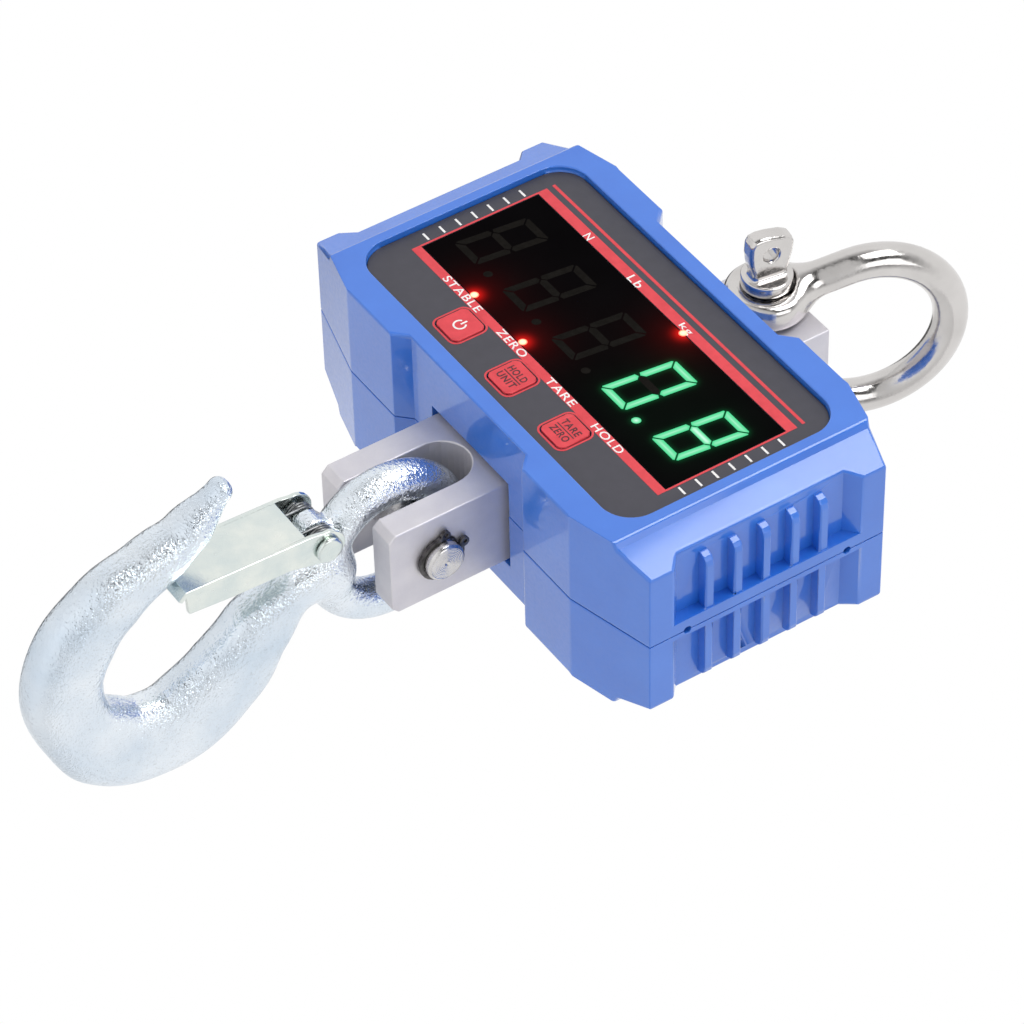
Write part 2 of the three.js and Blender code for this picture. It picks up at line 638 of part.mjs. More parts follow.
function latchRivet() {
  const [shank, head] = [LATCH_HALF + GAP, LATCH_HALF + 1.6];
  const half = [[RIVET.r, shank], [3.7, shank], [3.7, head - 0.8], [2.4, head], [0, head]];
  const mirrored = half.map(([r, x]) => [r, -x]).reverse();
  const points = [...mirrored, ...half].map(([r, x]) => new THREE.Vector2(r, x));
  return new THREE.LatheGeometry(points, 18).rotateZ(-Math.PI / 2).translate(0, RIVET.y, RIVET.z);
}

// double torsion spring: three turns round the rivet on each side of the lug, joined by a bow of
// wire that lies under the latch's web
function springWire() {
  const turns = 3;
  const perTurn = 10;
  const half = [];
  for (let i = 0; i <= turns * perTurn; i += 1) {
    const angle = Math.PI / 2 - (i / perTurn) * Math.PI * 2;
    const x = LUG_HALF + 0.9 + (i / (turns * perTurn)) * 2.6;
    half.push([x, Math.cos(angle) * COIL_R, Math.sin(angle) * COIL_R]);
  }
  const bow = [[3.9, -3.2, COIL_R], [3.8, -7, COIL_R], [2.6, -8.8, COIL_R]];
  const right = [...bow.reverse(), ...half];
  const left = right.map(([x, y, z]) => [-x, y, z]).reverse();
  const points = [...left, ...right].map(([x, y, z]) => new THREE.Vector3(x, RIVET.y + y, RIVET.z + z));
  return new THREE.CatmullRomCurve3(points);
}

function latchSpring() {
  return tube(springWire(), WIRE_R, 110, 3);
}

// ---------------------------------------------------------------- shackle
// the bow is drawn upright about its own pin (y up, z across its lugs) and then tilted about the pin
function bowLine() {
  const legZ = (LUG_IN + LUG_OUT) / 2;
  const reach = Math.hypot(BOW_C, legZ);
  const start = Math.atan2(legZ, -BOW_C) - Math.acos(BOW_R / reach);
  const path = new THREE.CurvePath();
  const onBow = (angle) => new THREE.Vector3(0, BOW_C + BOW_R * Math.cos(angle), BOW_R * Math.sin(angle));
  const points = [];
  const steps = 22;
  for (let i = 0; i <= steps; i += 1) points.push(onBow(start - (2 * start * i) / steps));
  const first = new THREE.Vector3(0, 3, legZ);
  const last = new THREE.Vector3(0, 3, -legZ);
  path.add(new THREE.CatmullRomCurve3([first, ...points, last]));
  return path.curves[0];
}

function tilted(geometry) {
  return geometry.rotateZ(-SHACKLE_TILT).translate(0, SHACKLE_Y, CELL_Z);
}

function shackle() {
  const bow = tube(bowLine(), ROD_R, 36, 7);
  const lug = (z0, z1) => turned([[0, z0], [LUG_R - 2, z0], [LUG_R, z0 + 2], [LUG_R, z1 - 2],
    [LUG_R - 2, z1], [0, z1]], 0, 0, 24);
  const upper = lug(LUG_IN, LUG_OUT);
  const lower = lug(-LUG_OUT, -LUG_IN);
  const between = box(-LUG_R - 1, LUG_R + 1, -LUG_R - 1, LUG_R + 3, -LUG_IN, LUG_IN);
  const collarSeat = rodZ(COLLAR_R + 0.6, 0, 0, LUG_OUT, LUG_OUT + 8, 24);
  const bore = rodZ(SHACKLE_PIN_R + GAP, 0, 0, -LUG_OUT - 4, LUG_OUT + 1, 24);
  return tilted(geometryOf(cut(join(bow, upper, lower), between, collarSeat, bore)));
}

// outline of the screw pin's flat eye: [across, height above the collar's foot]
const PIN_EYE = [[-4, 2.8], [4, 2.8], [4.2, 3.9], [5.4, 6.8], [6.4, 11], [6.7, 13.6], [6, 14.8], [3.9, 15.7],
  [-0.2, 17.1], [-2.9, 17.4], [-4.8, 16.8], [-5.7, 15.1], [-5.8, 12.1], [-5.5, 8.9], [-4.6, 5.7]];
const PIN_EYE_HALF = 2.5;
const PIN_EYE_TURN = THREE.MathUtils.degToRad(-8);

// screw pin: shank through both lugs, a collar, and a flat eye with a hole to turn it by
function shacklePin() {
  const collarZ = LUG_OUT + GAP;
  const shank = turned([[0, -LUG_OUT - 2], [SHACKLE_PIN_R - 0.8, -LUG_OUT - 2], [SHACKLE_PIN_R, -LUG_OUT - 1.2],
    [SHACKLE_PIN_R, collarZ], [COLLAR_R - 0.5, collarZ], [COLLAR_R, collarZ + 0.5], [COLLAR_R, collarZ + COLLAR_H - 0.6],
    [COLLAR_R - 0.6, collarZ + COLLAR_H], [0, collarZ + COLLAR_H]], 0, 0, 24);
  const eyeShape = new THREE.Shape(PIN_EYE.map(([y, z]) => new THREE.Vector2(y, collarZ + z)));
  const eye = facingX(prism(eyeShape, -PIN_EYE_HALF, PIN_EYE_HALF));
  const hole = rodX(2.6, 0, collarZ + 11.1, -5, 5, 16);
  const body = cut(join(shank, eye), hole);
  return geometryOf(body).rotateZ(PIN_EYE_TURN).translate(0, SHACKLE_Y, CELL_Z);
}

// ---------------------------------------------------------------- assembly
piece('front_housing', frontHousing(), blue);
piece('rear_housing', rearHousing(), blue);
piece('housing_seal_left', housingSeal(-1), rubber);
piece('housing_seal_right', housingSeal(1), rubber);
BOSSES.forEach(([x, y], i) =>
  piece(`housing_screw_${i + 1}`, screw(x, y, BACK_Z + 0.8, 14, 2.9, 1.2, 2), zinc));

piece('overlay_film', overlayFilm(), film);
const lens = box(WINDOW.x0 + GAP, WINDOW.x1 - GAP, WINDOW.y0 + GAP, WINDOW.y1 - GAP, 24.6, FILM_Z);
piece('display_window', lens, tinted);
['power_key', 'hold_unit_key', 'tare_zero_key'].forEach((name, i) => piece(name, key(i), red));

piece('main_circuit_board', mainBoard(), board);
for (let i = 0; i < DIGITS; i += 1) piece(`digit_module_${i + 1}`, digitModule(i), blackPlastic);
lampPlaces().forEach(([x, y], i) => piece(`indicator_lamp_${i + 1}`, lamp(x, y), lampRed));
for (let i = 0; i < 3; i += 1) piece(`key_switch_${i + 1}`, tactileSwitch(i), blackPlastic);

piece('battery_tray', batteryTray(), blackPlastic);
for (let i = 0; i < BATTERIES; i += 1) piece(`battery_${i + 1}`, battery(i), sleeve);
piece('charging_socket', chargingSocket(), blackPlastic);

piece('load_cell', loadCell(), aluminium);
piece('gauge_resin_left', gaugeResin(-1), resin);
piece('gauge_resin_right', gaugeResin(1), resin);
CELL_SCREWS.forEach(([x, y], i) =>
  piece(`load_cell_screw_${i + 1}`, screw(x, y, BACK_Z + 1, CELL_Z - CELL_H + 7, 4.4, 2.4, 2.6), zinc));

piece('hook_pin', hookPin(), stainless);
piece('retaining_ring_left', retainingRing(-1), blackSteel);
piece('retaining_ring_right', retainingRing(1), blackSteel);

piece('hook', hook(), zinc);
piece('latch_rivet', latchRivet(), zinc);
piece('safety_latch', latch(), zinc);
piece('latch_spring', latchSpring(), stainless);

piece('shackle', shackle(), stainless);
piece('shackle_pin', shacklePin(), stainless);

// stand the scale up and put the origin where the crane's hook bears, inside the top of the bow
const seatReach = BOW_C + BOW_R - ROD_R;
const seatX = seatReach * Math.sin(SHACKLE_TILT);
const seatY = SHACKLE_Y + seatReach * Math.cos(SHACKLE_TILT);
scale.rotation.x = Math.PI / 2;
scale.position.set(-seatX, CELL_Z, -seatY);

export default scale;
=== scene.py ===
# %% [markdown]
# # A crane scale, dressed in Blender
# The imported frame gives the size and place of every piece. This lesson turns it into a picture of
# a painted, printed and plated crane scale: a blue two-shell housing, a printed front panel with
# a lit display, a bright load cell, a plated hook with its latch, and a polished shackle.

import math

import bmesh
import bpy
import numpy as np
from mathutils import Matrix, Vector


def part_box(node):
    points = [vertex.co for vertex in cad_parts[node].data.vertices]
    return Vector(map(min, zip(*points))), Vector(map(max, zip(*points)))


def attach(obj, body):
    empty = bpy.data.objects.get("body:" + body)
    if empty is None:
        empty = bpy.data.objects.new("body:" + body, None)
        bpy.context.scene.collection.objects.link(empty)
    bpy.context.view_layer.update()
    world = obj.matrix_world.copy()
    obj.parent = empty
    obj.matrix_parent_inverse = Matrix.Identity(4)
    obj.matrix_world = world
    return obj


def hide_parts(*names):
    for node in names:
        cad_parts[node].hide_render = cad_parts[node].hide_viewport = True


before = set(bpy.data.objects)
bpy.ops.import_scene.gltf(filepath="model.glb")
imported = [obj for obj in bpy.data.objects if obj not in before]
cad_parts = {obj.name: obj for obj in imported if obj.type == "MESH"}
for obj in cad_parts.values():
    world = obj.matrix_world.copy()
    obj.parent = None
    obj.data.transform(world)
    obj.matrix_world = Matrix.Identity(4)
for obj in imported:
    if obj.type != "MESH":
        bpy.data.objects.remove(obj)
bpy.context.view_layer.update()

# %% [markdown]
# ## One set of coordinates for the drawing
# On the real scale everything is laid out from the front panel, so the pieces here are drawn in
# millimetres as across (to the display's right), up (towards the shackle) and out (out of the
# display, from the plane where the two shells meet). One function turns those into the frame's
# metres.

# %% Panel coordinates
MM = 0.001
cell_low, cell_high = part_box("load_cell")
front_low, front_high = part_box("front_housing")
SHELL_GAP = 0.3 * MM
middle_x = (cell_low.x + cell_high.x) / 2
middle_z = (front_low.z + front_high.z) / 2
parting_y = front_high.y + SHELL_GAP / 2


def place(points):
    """Across, up, out in millimetres becomes x = across, y = minus out, z = up, in metres."""
    points = np.asarray(points, float)
    across, up, out = points[..., 0], points[..., 1], points[..., 2]
    moved = [middle_x + across * MM, parting_y - out * MM, middle_z + up * MM]
    return np.stack(moved, -1)


def centre_of(node):
    """The middle of a node's box as across, up, out in millimetres."""
    low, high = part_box(node)
    x, y, z = (low + high) / 2
    return np.array([(x - middle_x) / MM, (z - middle_z) / MM, (parting_y - y) / MM])


print("rivet is at", centre_of("latch_rivet").round(2))

# %% [markdown]
# ## From arrays to meshes
# A piece is a surface worked out as whole arrays: a grid of points, or the zero surface of a
# field. These helpers put the arrays into a mesh, and say which body the piece rides on.


# %% Mesh helpers
def add_piece(name, points, faces, material, body, slot=None, replaces=(), smooth=True):
    """Puts panel points and faces into a mesh, and hangs it on its body."""
    mesh = bpy.data.meshes.new(name)
    mesh.from_pydata(place(points).tolist(), [], [list(f) for f in faces])
    mesh.polygons.foreach_set("use_smooth", np.full(len(mesh.polygons), smooth))
    mesh.materials.append(material)
    piece = bpy.data.objects.new(name, mesh)
    bpy.context.scene.collection.objects.link(piece)
    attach(piece, body)
    if replaces:
        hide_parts(*replaces)
    print(f"{name}: {len(mesh.polygons)} faces on {body}")
    return piece


def grid_faces(rows, columns, wrap=True):
    """Quads of a grid of rows by columns, whose last column meets the first if wrap is true."""
    i = np.arange(rows - 1)[:, None]
    j = np.arange(columns if wrap else columns - 1)[None, :]
    k = (j + 1) % columns
    corners = [i * columns + j, i * columns + k, (i + 1) * columns + k, (i + 1) * columns + j]
    return np.stack(np.broadcast_arrays(*corners), -1).reshape(-1, 4)


def joined(shapes):
    """Several (points, faces) pairs as one pair."""
    points, faces, start = [], [], 0
    for shape_points, shape_faces in shapes:
        points.append(np.asarray(shape_points, float))
        faces += [[start + v for v in f] for f in shape_faces]
        start += len(shape_points)
    return np.concatenate(points), faces


def plate(outline, out_low, out_high):
    """A closed plate: an outline of across, up points, carried from one height to another."""
    outline = np.asarray(outline, float)
    n = len(outline)
    low = np.column_stack([outline, np.full(n, out_low)])
    high = np.column_stack([outline, np.full(n, out_high)])
    sides = [[i, (i + 1) % n, n + (i + 1) % n, n + i] for i in range(n)]
    faces = [list(range(n))[::-1], list(range(n, 2 * n)), *sides]
    return np.concatenate([low, high]), faces


def rounded_box(across, up, half_across, half_up, radius, steps=6):
    """Outline of a rectangle whose corners are quarter circles of that radius."""
    turn = np.linspace(0, math.pi / 2, steps + 1)
    corners = []
    for k, (sx, sy) in enumerate([(1, 1), (-1, 1), (-1, -1), (1, -1)]):
        angle = turn + k * math.pi / 2
        x = across + sx * (half_across - radius) + radius * np.cos(angle)
        y = up + sy * (half_up - radius) + radius * np.sin(angle)
        corners.append(np.column_stack([x, y]))
    return np.concatenate(corners)


# %% [markdown]
# ## Surfaces from fields
# The hook and the shackle are forgings, where one shape flows into the next. Such a shape is easy
# to say as a field: a number at each point of space, negative inside. Two fields join with a soft
# minimum, which leaves the fillet that a forging die leaves. The surface is where the field is
# zero.


# %% Field helpers
SLIDES = 4


def soft_min(a, b, reach):
    """The smaller of two fields, rounded off over a distance of reach where they are alike."""
    share = np.clip(0.5 + 0.5 * (b - a) / reach, 0, 1)
    return b + (a - b) * share - reach * share * (1 - share)


def soft_max(a, b, reach):
    """The larger of two fields, rounded off in the same way."""
    return -soft_min(-a, -b, reach)


def disc_field(radial, axial, radius, half, rounding):
    """Distance to a disc with rounded edges, from the distance off its axis and along its axis."""
    dr = radial - (radius - rounding)
    da = np.abs(axial) - (half - rounding)
    outside = np.hypot(np.maximum(dr, 0), np.maximum(da, 0))
    return outside + np.minimum(np.maximum(dr, da), 0) - rounding


def off_stretch(x, y, start, end):
    """Distance from points to a straight stretch. How far along it a point lies, kept between its
    two ends, gives the nearest place on it, and the distance is measured to that place."""
    run_x, run_y = end[0] - start[0], end[1] - start[1]
    length_squared = max(run_x**2 + run_y**2, 1e-9)
    share = np.clip(((x - start[0]) * run_x + (y - start[1]) * run_y) / length_squared, 0, 1)
    return np.hypot(x - start[0] - share * run_x, y - start[1] - share * run_y)


def field_surface(field, low, high, step):
    """Points and quads of the surface where a field is zero. Every grid cell with corners of both
    signs gets one point, at the mean of its edge crossings, and every grid edge that crosses the
    surface gets the quad between its four cells. Each point then slides down the field's slope
    until the field is zero."""
    axes = [np.arange(a - step, b + 2 * step, step) for a, b in zip(low, high)]
    value = field(axes[0][:, None, None], axes[1][None, :, None], axes[2][None, None, :])
    inside = value < 0
    corners = [np.array(c) for c in np.ndindex(2, 2, 2)]
    size = np.array(inside.shape) - 1
    cut = [tuple(slice(c[k], c[k] + size[k]) for k in range(3)) for c in corners]
    count = sum(inside[c].astype(np.int8) for c in cut)
    active = (count > 0) & (count < 8)
    number = np.full(active.shape, -1)
    number[active] = np.arange(active.sum())
    cells = np.argwhere(active)
    total, hits = np.zeros((len(cells), 3)), np.zeros(len(cells))
    for a in corners:
        for k in range(3):
            if a[k]:
                continue
            b = a + np.eye(3, dtype=int)[k]
            value_a, value_b = value[tuple((cells + a).T)], value[tuple((cells + b).T)]
            crosses = (value_a < 0) != (value_b < 0)
            share = np.where(crosses, value_a / np.where(crosses, value_a - value_b, 1), 0)
            total += np.where(crosses[:, None], a + share[:, None] * (b - a), 0)
            hits += crosses
    points = (cells + total / hits[:, None]) * step + np.array([axis[0] for axis in axes])
    faces = []
    for k in range(3):
        one, two = np.eye(3, dtype=int)[(k + 1) % 3], np.eye(3, dtype=int)[(k + 2) % 3]
        along = np.eye(3, dtype=int)[k]
        lower = inside[tuple(slice(0, -1) if axis == k else slice(1, -1) for axis in range(3))]
        upper = inside[tuple(slice(1, None) if axis == k else slice(1, -1) for axis in range(3))]
        spot = np.argwhere(lower != upper) + 1 - along
        ring = [spot - one - two, spot - two, spot, spot - one]
        quads = np.stack([number[tuple(cell.T)] for cell in ring], -1)
        leaving = lower[lower != upper]
        faces.append(np.where(leaving[:, None], quads, quads[:, ::-1]))
    for _ in range(SLIDES):
        points = slide(field, points)
    return points, np.concatenate(faces)


def slide(field, points, small=0.01):
    """One step down the slope: a point moves by the field over the square of its gradient."""
    here = field(*points.T)
    shifts = np.eye(3) * small
    gradient = np.stack([field(*(points + s).T) - field(*(points - s).T) for s in shifts], -1)
    gradient /= 2 * small
    steep = np.maximum((gradient**2).sum(-1), 0.2)
    return points - np.clip(here / steep, -0.5, 0.5)[:, None] * gradient


# %% [markdown]
# ## Materials
# Every finish is mixed from a few noise patterns in Object coordinates. A pattern's scale is in
# waves a metre, so 700 gives lumps of about one and a half millimetres.


# %% Material helpers
def srgb(r, g, b):
    """A colour given as 0 to 255 screen values, as the linear values that a shader takes."""
    values = np.array([r, g, b]) / 255
    linear = np.where(values <= 0.04045, values / 12.92, ((values + 0.055) / 1.055) ** 2.4)
    return (*linear.tolist(), 1.0)


class Finish:
    """A material and short ways to add patterns to it."""

    def __init__(self, name, color, roughness, metallic=0.0, **sockets):
        self.material = bpy.data.materials.new(name)
        self.material.use_nodes = True
        self.nodes, self.links = self.material.node_tree.nodes, self.material.node_tree.links
        self.shader = self.nodes["Principled BSDF"]
        self.shader.inputs["Base Color"].default_value = color
        self.shader.inputs["Roughness"].default_value = roughness
        self.shader.inputs["Metallic"].default_value = metallic
        for socket, value in sockets.items():
            self.shader.inputs[socket.replace("_", " ")].default_value = value
        self.where = self.nodes.new("ShaderNodeTexCoord")
        self.last_bump = None

    def noise(self, scale, detail=3.0, roughness=0.5, stretch=None):
        """A noise pattern; stretch squeezes or draws it out along x, y, z."""
        node = self.nodes.new("ShaderNodeTexNoise")
        node.inputs["Scale"].default_value = scale
        node.inputs["Detail"].default_value = detail
        node.inputs["Roughness"].default_value = roughness
        source = self.where.outputs["Object"]
        if stretch:
            mapping = self.nodes.new("ShaderNodeMapping")
            mapping.inputs["Scale"].default_value = stretch
            self.links.new(source, mapping.inputs["Vector"])
            source = mapping.outputs["Vector"]
        self.links.new(source, node.inputs["Vector"])
        return node.outputs["Fac"]

    def ramp(self, value, low, high, low_at=0.3, high_at=0.7):
        """Two colours spread over a pattern's middle range."""
        node = self.nodes.new("ShaderNodeValToRGB")
        for stop, at, tone in zip(node.color_ramp.elements, (low_at, high_at), (low, high)):
            stop.position, stop.color = at, tone
        self.links.new(value, node.inputs["Fac"])
        return node.outputs["Color"]

    def grey(self, value, low, high, low_at=0.3, high_at=0.7):
        """A pattern's middle range spread from one number to another."""
        return self.ramp(value, (low, low, low, 1), (high, high, high, 1), low_at, high_at)

    def color(self, output):
        """Takes the base colour from a pattern."""
        self.links.new(output, self.shader.inputs["Base Color"])
        return self

    def roughness(self, output):
        """Takes the roughness from a pattern."""
        self.links.new(output, self.shader.inputs["Roughness"])
        return self

    def bump(self, output, height, strength=1.0):
        """Lifts the surface by up to height metres where the pattern is bright."""
        node = self.nodes.new("ShaderNodeBump")
        node.inputs["Distance"].default_value = height
        node.inputs["Strength"].default_value = strength
        self.links.new(output, node.inputs["Height"])
        if self.last_bump:
            self.links.new(self.last_bump, node.inputs["Normal"])
        self.last_bump = node.outputs["Normal"]
        self.links.new(self.last_bump, self.shader.inputs["Normal"])
        return self


# %% [markdown]
# ### Enamel
# The shells look like castings enamelled in a glossy mid blue. Such enamel shows a faint orange
# peel, a slow waviness of a few millimetres, and here and there a slightly deeper tone.

# %% Blue enamel
enamel = Finish("blue_enamel", srgb(38, 107, 206), 0.32, Coat_Weight=1.0, Coat_Roughness=0.05)
enamel.color(enamel.ramp(enamel.noise(60), srgb(34, 103, 202), srgb(42, 111, 210)))
enamel.roughness(enamel.grey(enamel.noise(900), 0.28, 0.4))
enamel.bump(enamel.noise(230, 1.0), 0.00006, 0.45)
enamel.bump(enamel.noise(1100, 2.0), 0.00002, 0.3)
blue_enamel = enamel.material

# %% [markdown]
# ### Panel film, inks and window
# The panel is a printed film with a fine matte grain. Red and white inks lie on it, and the real
# display shows through a dark tinted window. Here the window is simply dark and lets nothing
# through, and the digits are drawn on its face.

# %% Panel finishes
film = Finish("panel_film", srgb(58, 57, 66), 0.45)
film.color(film.ramp(film.noise(300, 4), srgb(56, 55, 64), srgb(60, 59, 68)))
film.bump(film.noise(5000, 2), 0.00002, 0.6)
panel_film = film.material

ink = Finish("red_ink", srgb(210, 56, 66), 0.42)
ink.color(ink.ramp(ink.noise(400, 4), srgb(204, 52, 62), srgb(216, 60, 70)))
ink.bump(ink.noise(5000, 2), 0.00002, 0.5)
red_ink = ink.material

pale = Finish("white_ink", srgb(232, 230, 228), 0.5)
pale.color(pale.ramp(pale.noise(900, 4), srgb(222, 220, 220), srgb(240, 238, 236)))
white_ink = pale.material

dark = Finish("dark_ink", srgb(70, 26, 34), 0.5)
dark.color(dark.ramp(dark.noise(900, 4), srgb(62, 22, 30), srgb(80, 32, 40)))
dark_ink = dark.material

ghost = Finish("unlit_segment", srgb(21, 19, 17), 0.6, Specular_IOR_Level=0.02)
ghost.color(ghost.ramp(ghost.noise(700, 3), srgb(18, 16, 14), srgb(24, 22, 20)))
unlit_segment = ghost.material

rubber = Finish("seal_rubber", srgb(24, 24, 26), 0.75)
rubber.color(rubber.ramp(rubber.noise(700, 3), srgb(20, 20, 22), srgb(30, 30, 32)))
rubber.bump(rubber.noise(2500, 2), 0.00004, 0.6)
seal_rubber = rubber.material

moulded = Finish("black_plastic", srgb(34, 34, 36), 0.5)
moulded.color(moulded.ramp(moulded.noise(200, 4), srgb(30, 30, 32), srgb(40, 40, 42)))
moulded.bump(moulded.noise(3000, 2), 0.00003, 0.5)
black_plastic = moulded.material

# %% [markdown]
# ### Metals
# The load cell is milled aluminium with a satin bead-blasted skin. The hook is a drop forging
# with bright zinc plating: the forged skin leaves it finely crinkled, so it sparkles, and the
# plating's passivation turns it faintly blue in patches. The shackle is mirror-polished stainless
# steel.

# %% Metal finishes
alloy = Finish("satin_aluminium", srgb(212, 209, 214), 0.46, 0.6)
alloy.color(alloy.ramp(alloy.noise(140, 4), srgb(207, 204, 210), srgb(217, 214, 218)))
alloy.roughness(alloy.grey(alloy.noise(2200, 3), 0.42, 0.54))
alloy.bump(alloy.noise(2600, 3), 0.00002, 0.35)
satin_aluminium = alloy.material

forged = Finish("forged_zinc", srgb(220, 232, 242), 0.2, 1.0)
forged.color(forged.ramp(forged.noise(45, 4), srgb(206, 219, 232), srgb(234, 240, 246)))
forged.roughness(forged.grey(forged.noise(500, 4), 0.12, 0.24))
forged.bump(forged.noise(380, 2), 0.0003, 0.35)
forged.bump(forged.noise(1050, 2, 0.6), 0.00048, 0.8)
forged_zinc = forged.material

sheet = Finish("sheet_zinc", srgb(222, 228, 225), 0.22, 1.0)
sheet.color(sheet.ramp(sheet.noise(120, 4), srgb(211, 221, 220), srgb(232, 236, 230)))
sheet.roughness(sheet.grey(sheet.noise(700, 4), 0.16, 0.28))
sheet.bump(sheet.noise(300, 2, stretch=(1, 1, 0.25)), 0.00002, 0.4)
sheet_zinc = sheet.material

mirror = Finish("mirror_steel", srgb(209, 206, 204), 0.14, 1.0)
mirror.color(mirror.ramp(mirror.noise(80, 3), srgb(203, 200, 198), srgb(215, 212, 210)))
mirror.roughness(mirror.grey(mirror.noise(900, 5), 0.1, 0.24))
mirror.bump(mirror.noise(130, 3, 0.6), 0.00035, 0.35)
mirror.bump(mirror.noise(2400, 3), 0.00002, 0.4)
mirror_steel = mirror.material

bright = Finish("turned_steel", srgb(208, 206, 206), 0.22, 1.0)
bright.color(bright.ramp(bright.noise(300, 4), srgb(200, 198, 198), srgb(216, 214, 214)))
bright.roughness(bright.grey(bright.noise(1500, 3), 0.18, 0.3))
turned_steel = bright.material

oxide = Finish("black_steel", srgb(84, 82, 84), 0.3, 1.0)
oxide.color(oxide.ramp(oxide.noise(500, 4), srgb(56, 54, 56), srgb(112, 110, 110)))
oxide.bump(oxide.noise(3000, 2), 0.00002, 0.5)
black_steel = oxide.material

wire = Finish("spring_wire", srgb(120, 122, 124), 0.3, 1.0)
wire.color(wire.ramp(wire.noise(900, 3), srgb(96, 98, 100), srgb(150, 152, 154)))
spring_wire = wire.material

# %% [markdown]
# ## Pieces that keep their frame shape
# Boxes and plates from the frame already have the right shape, but every real edge is slightly
# round, and a round edge is what catches the light. A copy of the node is merged, its flat faces
# are made whole and cut into tidy triangles, and a Bevel modifier rounds its sharp outward edges.
# An edge next to a short one or a narrow face gets a narrower rounding, so that no two run into
# each other, and where the two shells meet the rounding is narrowest, so that the seam stays
# thin.


# %% Rounded copies of frame nodes
SHARP, FOLD = math.radians(9), 0.05
FINE_SEAM, SEAM_ZONE = 0.15 * MM, 0.5 * MM
SLIVER, BROAD, LONG = 0.25 * MM, 3 * MM, 20 * MM
NEXT_SHARE, BREADTH_SHARE = 0.35, 0.4
MERGE, NEARLY_FLAT = 2e-6, math.radians(0.6)


def edge_width(edge, width, fine):
    """Share of the full rounding that an edge can take. An inward or nearly flat edge gets none,
    nor does one beside a sliver. A long fold between broad faces of a fine copy gets all of it. Any
    other gets what the lengths of its neighbours and the breadth of its faces leave room for."""
    if len(edge.link_faces) != 2 or edge.calc_face_angle() < SHARP or not edge.is_convex:
        return 0.0
    breadth = min(2 * f.calc_area() / edge.calc_length() for f in edge.link_faces)
    if breadth < SLIVER:
        return 0.0
    if fine and breadth > BROAD and edge.calc_length() > LONG:
        return 1.0
    beside = [e for v in edge.verts for e in v.link_edges if e.calc_face_angle(0) > FOLD]
    shortest = min(e.calc_length() for e in beside)
    room = min(NEXT_SHARE * shortest, BREADTH_SHARE * breadth) / width
    if all(abs(v.co.y - parting_y) < SEAM_ZONE for v in edge.verts):
        room = min(room, FINE_SEAM / width)
    if fine:
        room = min(room, fine / width)
    return min(1.0, room)


def rounded_copy(node, material, body, width, segments=3, fine=None):
    """A merged copy of a frame node with its edges rounded to width metres. With fine, only its
    long outer edges are, and the others are rounded to fine."""
    mesh = bpy.data.meshes.new(node + "_finished")
    work = bmesh.new()
    work.from_mesh(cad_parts[node].data)
    bmesh.ops.remove_doubles(work, verts=work.verts, dist=MERGE)
    bmesh.ops.dissolve_limit(work, angle_limit=NEARLY_FLAT, verts=work.verts, edges=work.edges)
    bmesh.ops.triangulate(work, faces=work.faces)
    weight = work.edges.layers.float.new("bevel_weight_edge")
    for edge in work.edges:
        edge[weight] = edge_width(edge, width, fine)
    work.to_mesh(mesh)
    work.free()
    mesh.materials.clear()
    mesh.materials.append(material)
    mesh.polygons.foreach_set("use_smooth", np.ones(len(mesh.polygons), bool))
    mesh.set_sharp_from_angle(angle=SHARP)
    piece = bpy.data.objects.new(node + "_finished", mesh)
    bpy.context.scene.collection.objects.link(piece)
    bevel = piece.modifiers.new("rounded_edges", "BEVEL")
    bevel.width, bevel.segments = width, segments
    bevel.limit_method, bevel.use_clamp_overlap = "WEIGHT", False
    bevel.harden_normals = True
    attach(piece, body)
    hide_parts(node)
    print(f"{piece.name}: {len(mesh.polygons)} faces before rounding")
    return piece


for shell in ("front_housing", "rear_housing"):
    rounded_copy(shell, blue_enamel, "scale_body", 0.85 * MM)
rounded_copy("load_cell", satin_aluminium, "scale_body", 0.45 * MM)
rounded_copy("safety_latch", sheet_zinc, "safety_latch", 1.15 * MM, 5, 0.25 * MM)
for ring in ("retaining_ring_left", "retaining_ring_right"):
    rounded_copy(ring, black_steel, "scale_body", 0.15 * MM, 2)

# %% [markdown]
# The nodes that keep their frame shape as it is get their finishes by the start of their names.

# %% Plain frame nodes get their finishes
laminate = Finish("circuit_board", srgb(24, 84, 52), 0.4)
laminate.color(laminate.ramp(laminate.noise(500, 4), srgb(20, 76, 46), srgb(30, 94, 60)))
sleeve = Finish("battery_sleeve", srgb(60, 62, 70), 0.35)
sleeve.color(sleeve.ramp(sleeve.noise(200, 3), srgb(54, 56, 64), srgb(68, 70, 78)))
cured = Finish("gauge_resin", srgb(214, 208, 196), 0.4)
cured.color(cured.ramp(cured.noise(300, 3), srgb(206, 199, 186), srgb(222, 217, 206)))
lens = Finish("red_lens", srgb(120, 20, 20), 0.2)
lens.color(lens.ramp(lens.noise(300, 3), srgb(108, 16, 16), srgb(132, 26, 26)))

NODE_FINISHES = {
    "overlay_film": panel_film,
    "display_window": black_plastic,
    "housing_seal": seal_rubber,
    "housing_screw": sheet_zinc,
    "load_cell_screw": sheet_zinc,
    "digit_module": black_plastic,
    "key_switch": black_plastic,
    "indicator_lamp": lens.material,
    "main_circuit_board": laminate.material,
    "battery_tray": black_plastic,
    "battery_": sleeve.material,
    "gauge_resin": cured.material,
    "charging_socket": black_plastic,
}
for name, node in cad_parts.items():
    finish = next((f for start, f in NODE_FINISHES.items() if name.startswith(start)), None)
    if finish:
        node.material_slots[0].link = "OBJECT"
        node.material_slots[0].material = finish
        print(f"{name}: {finish.name}")

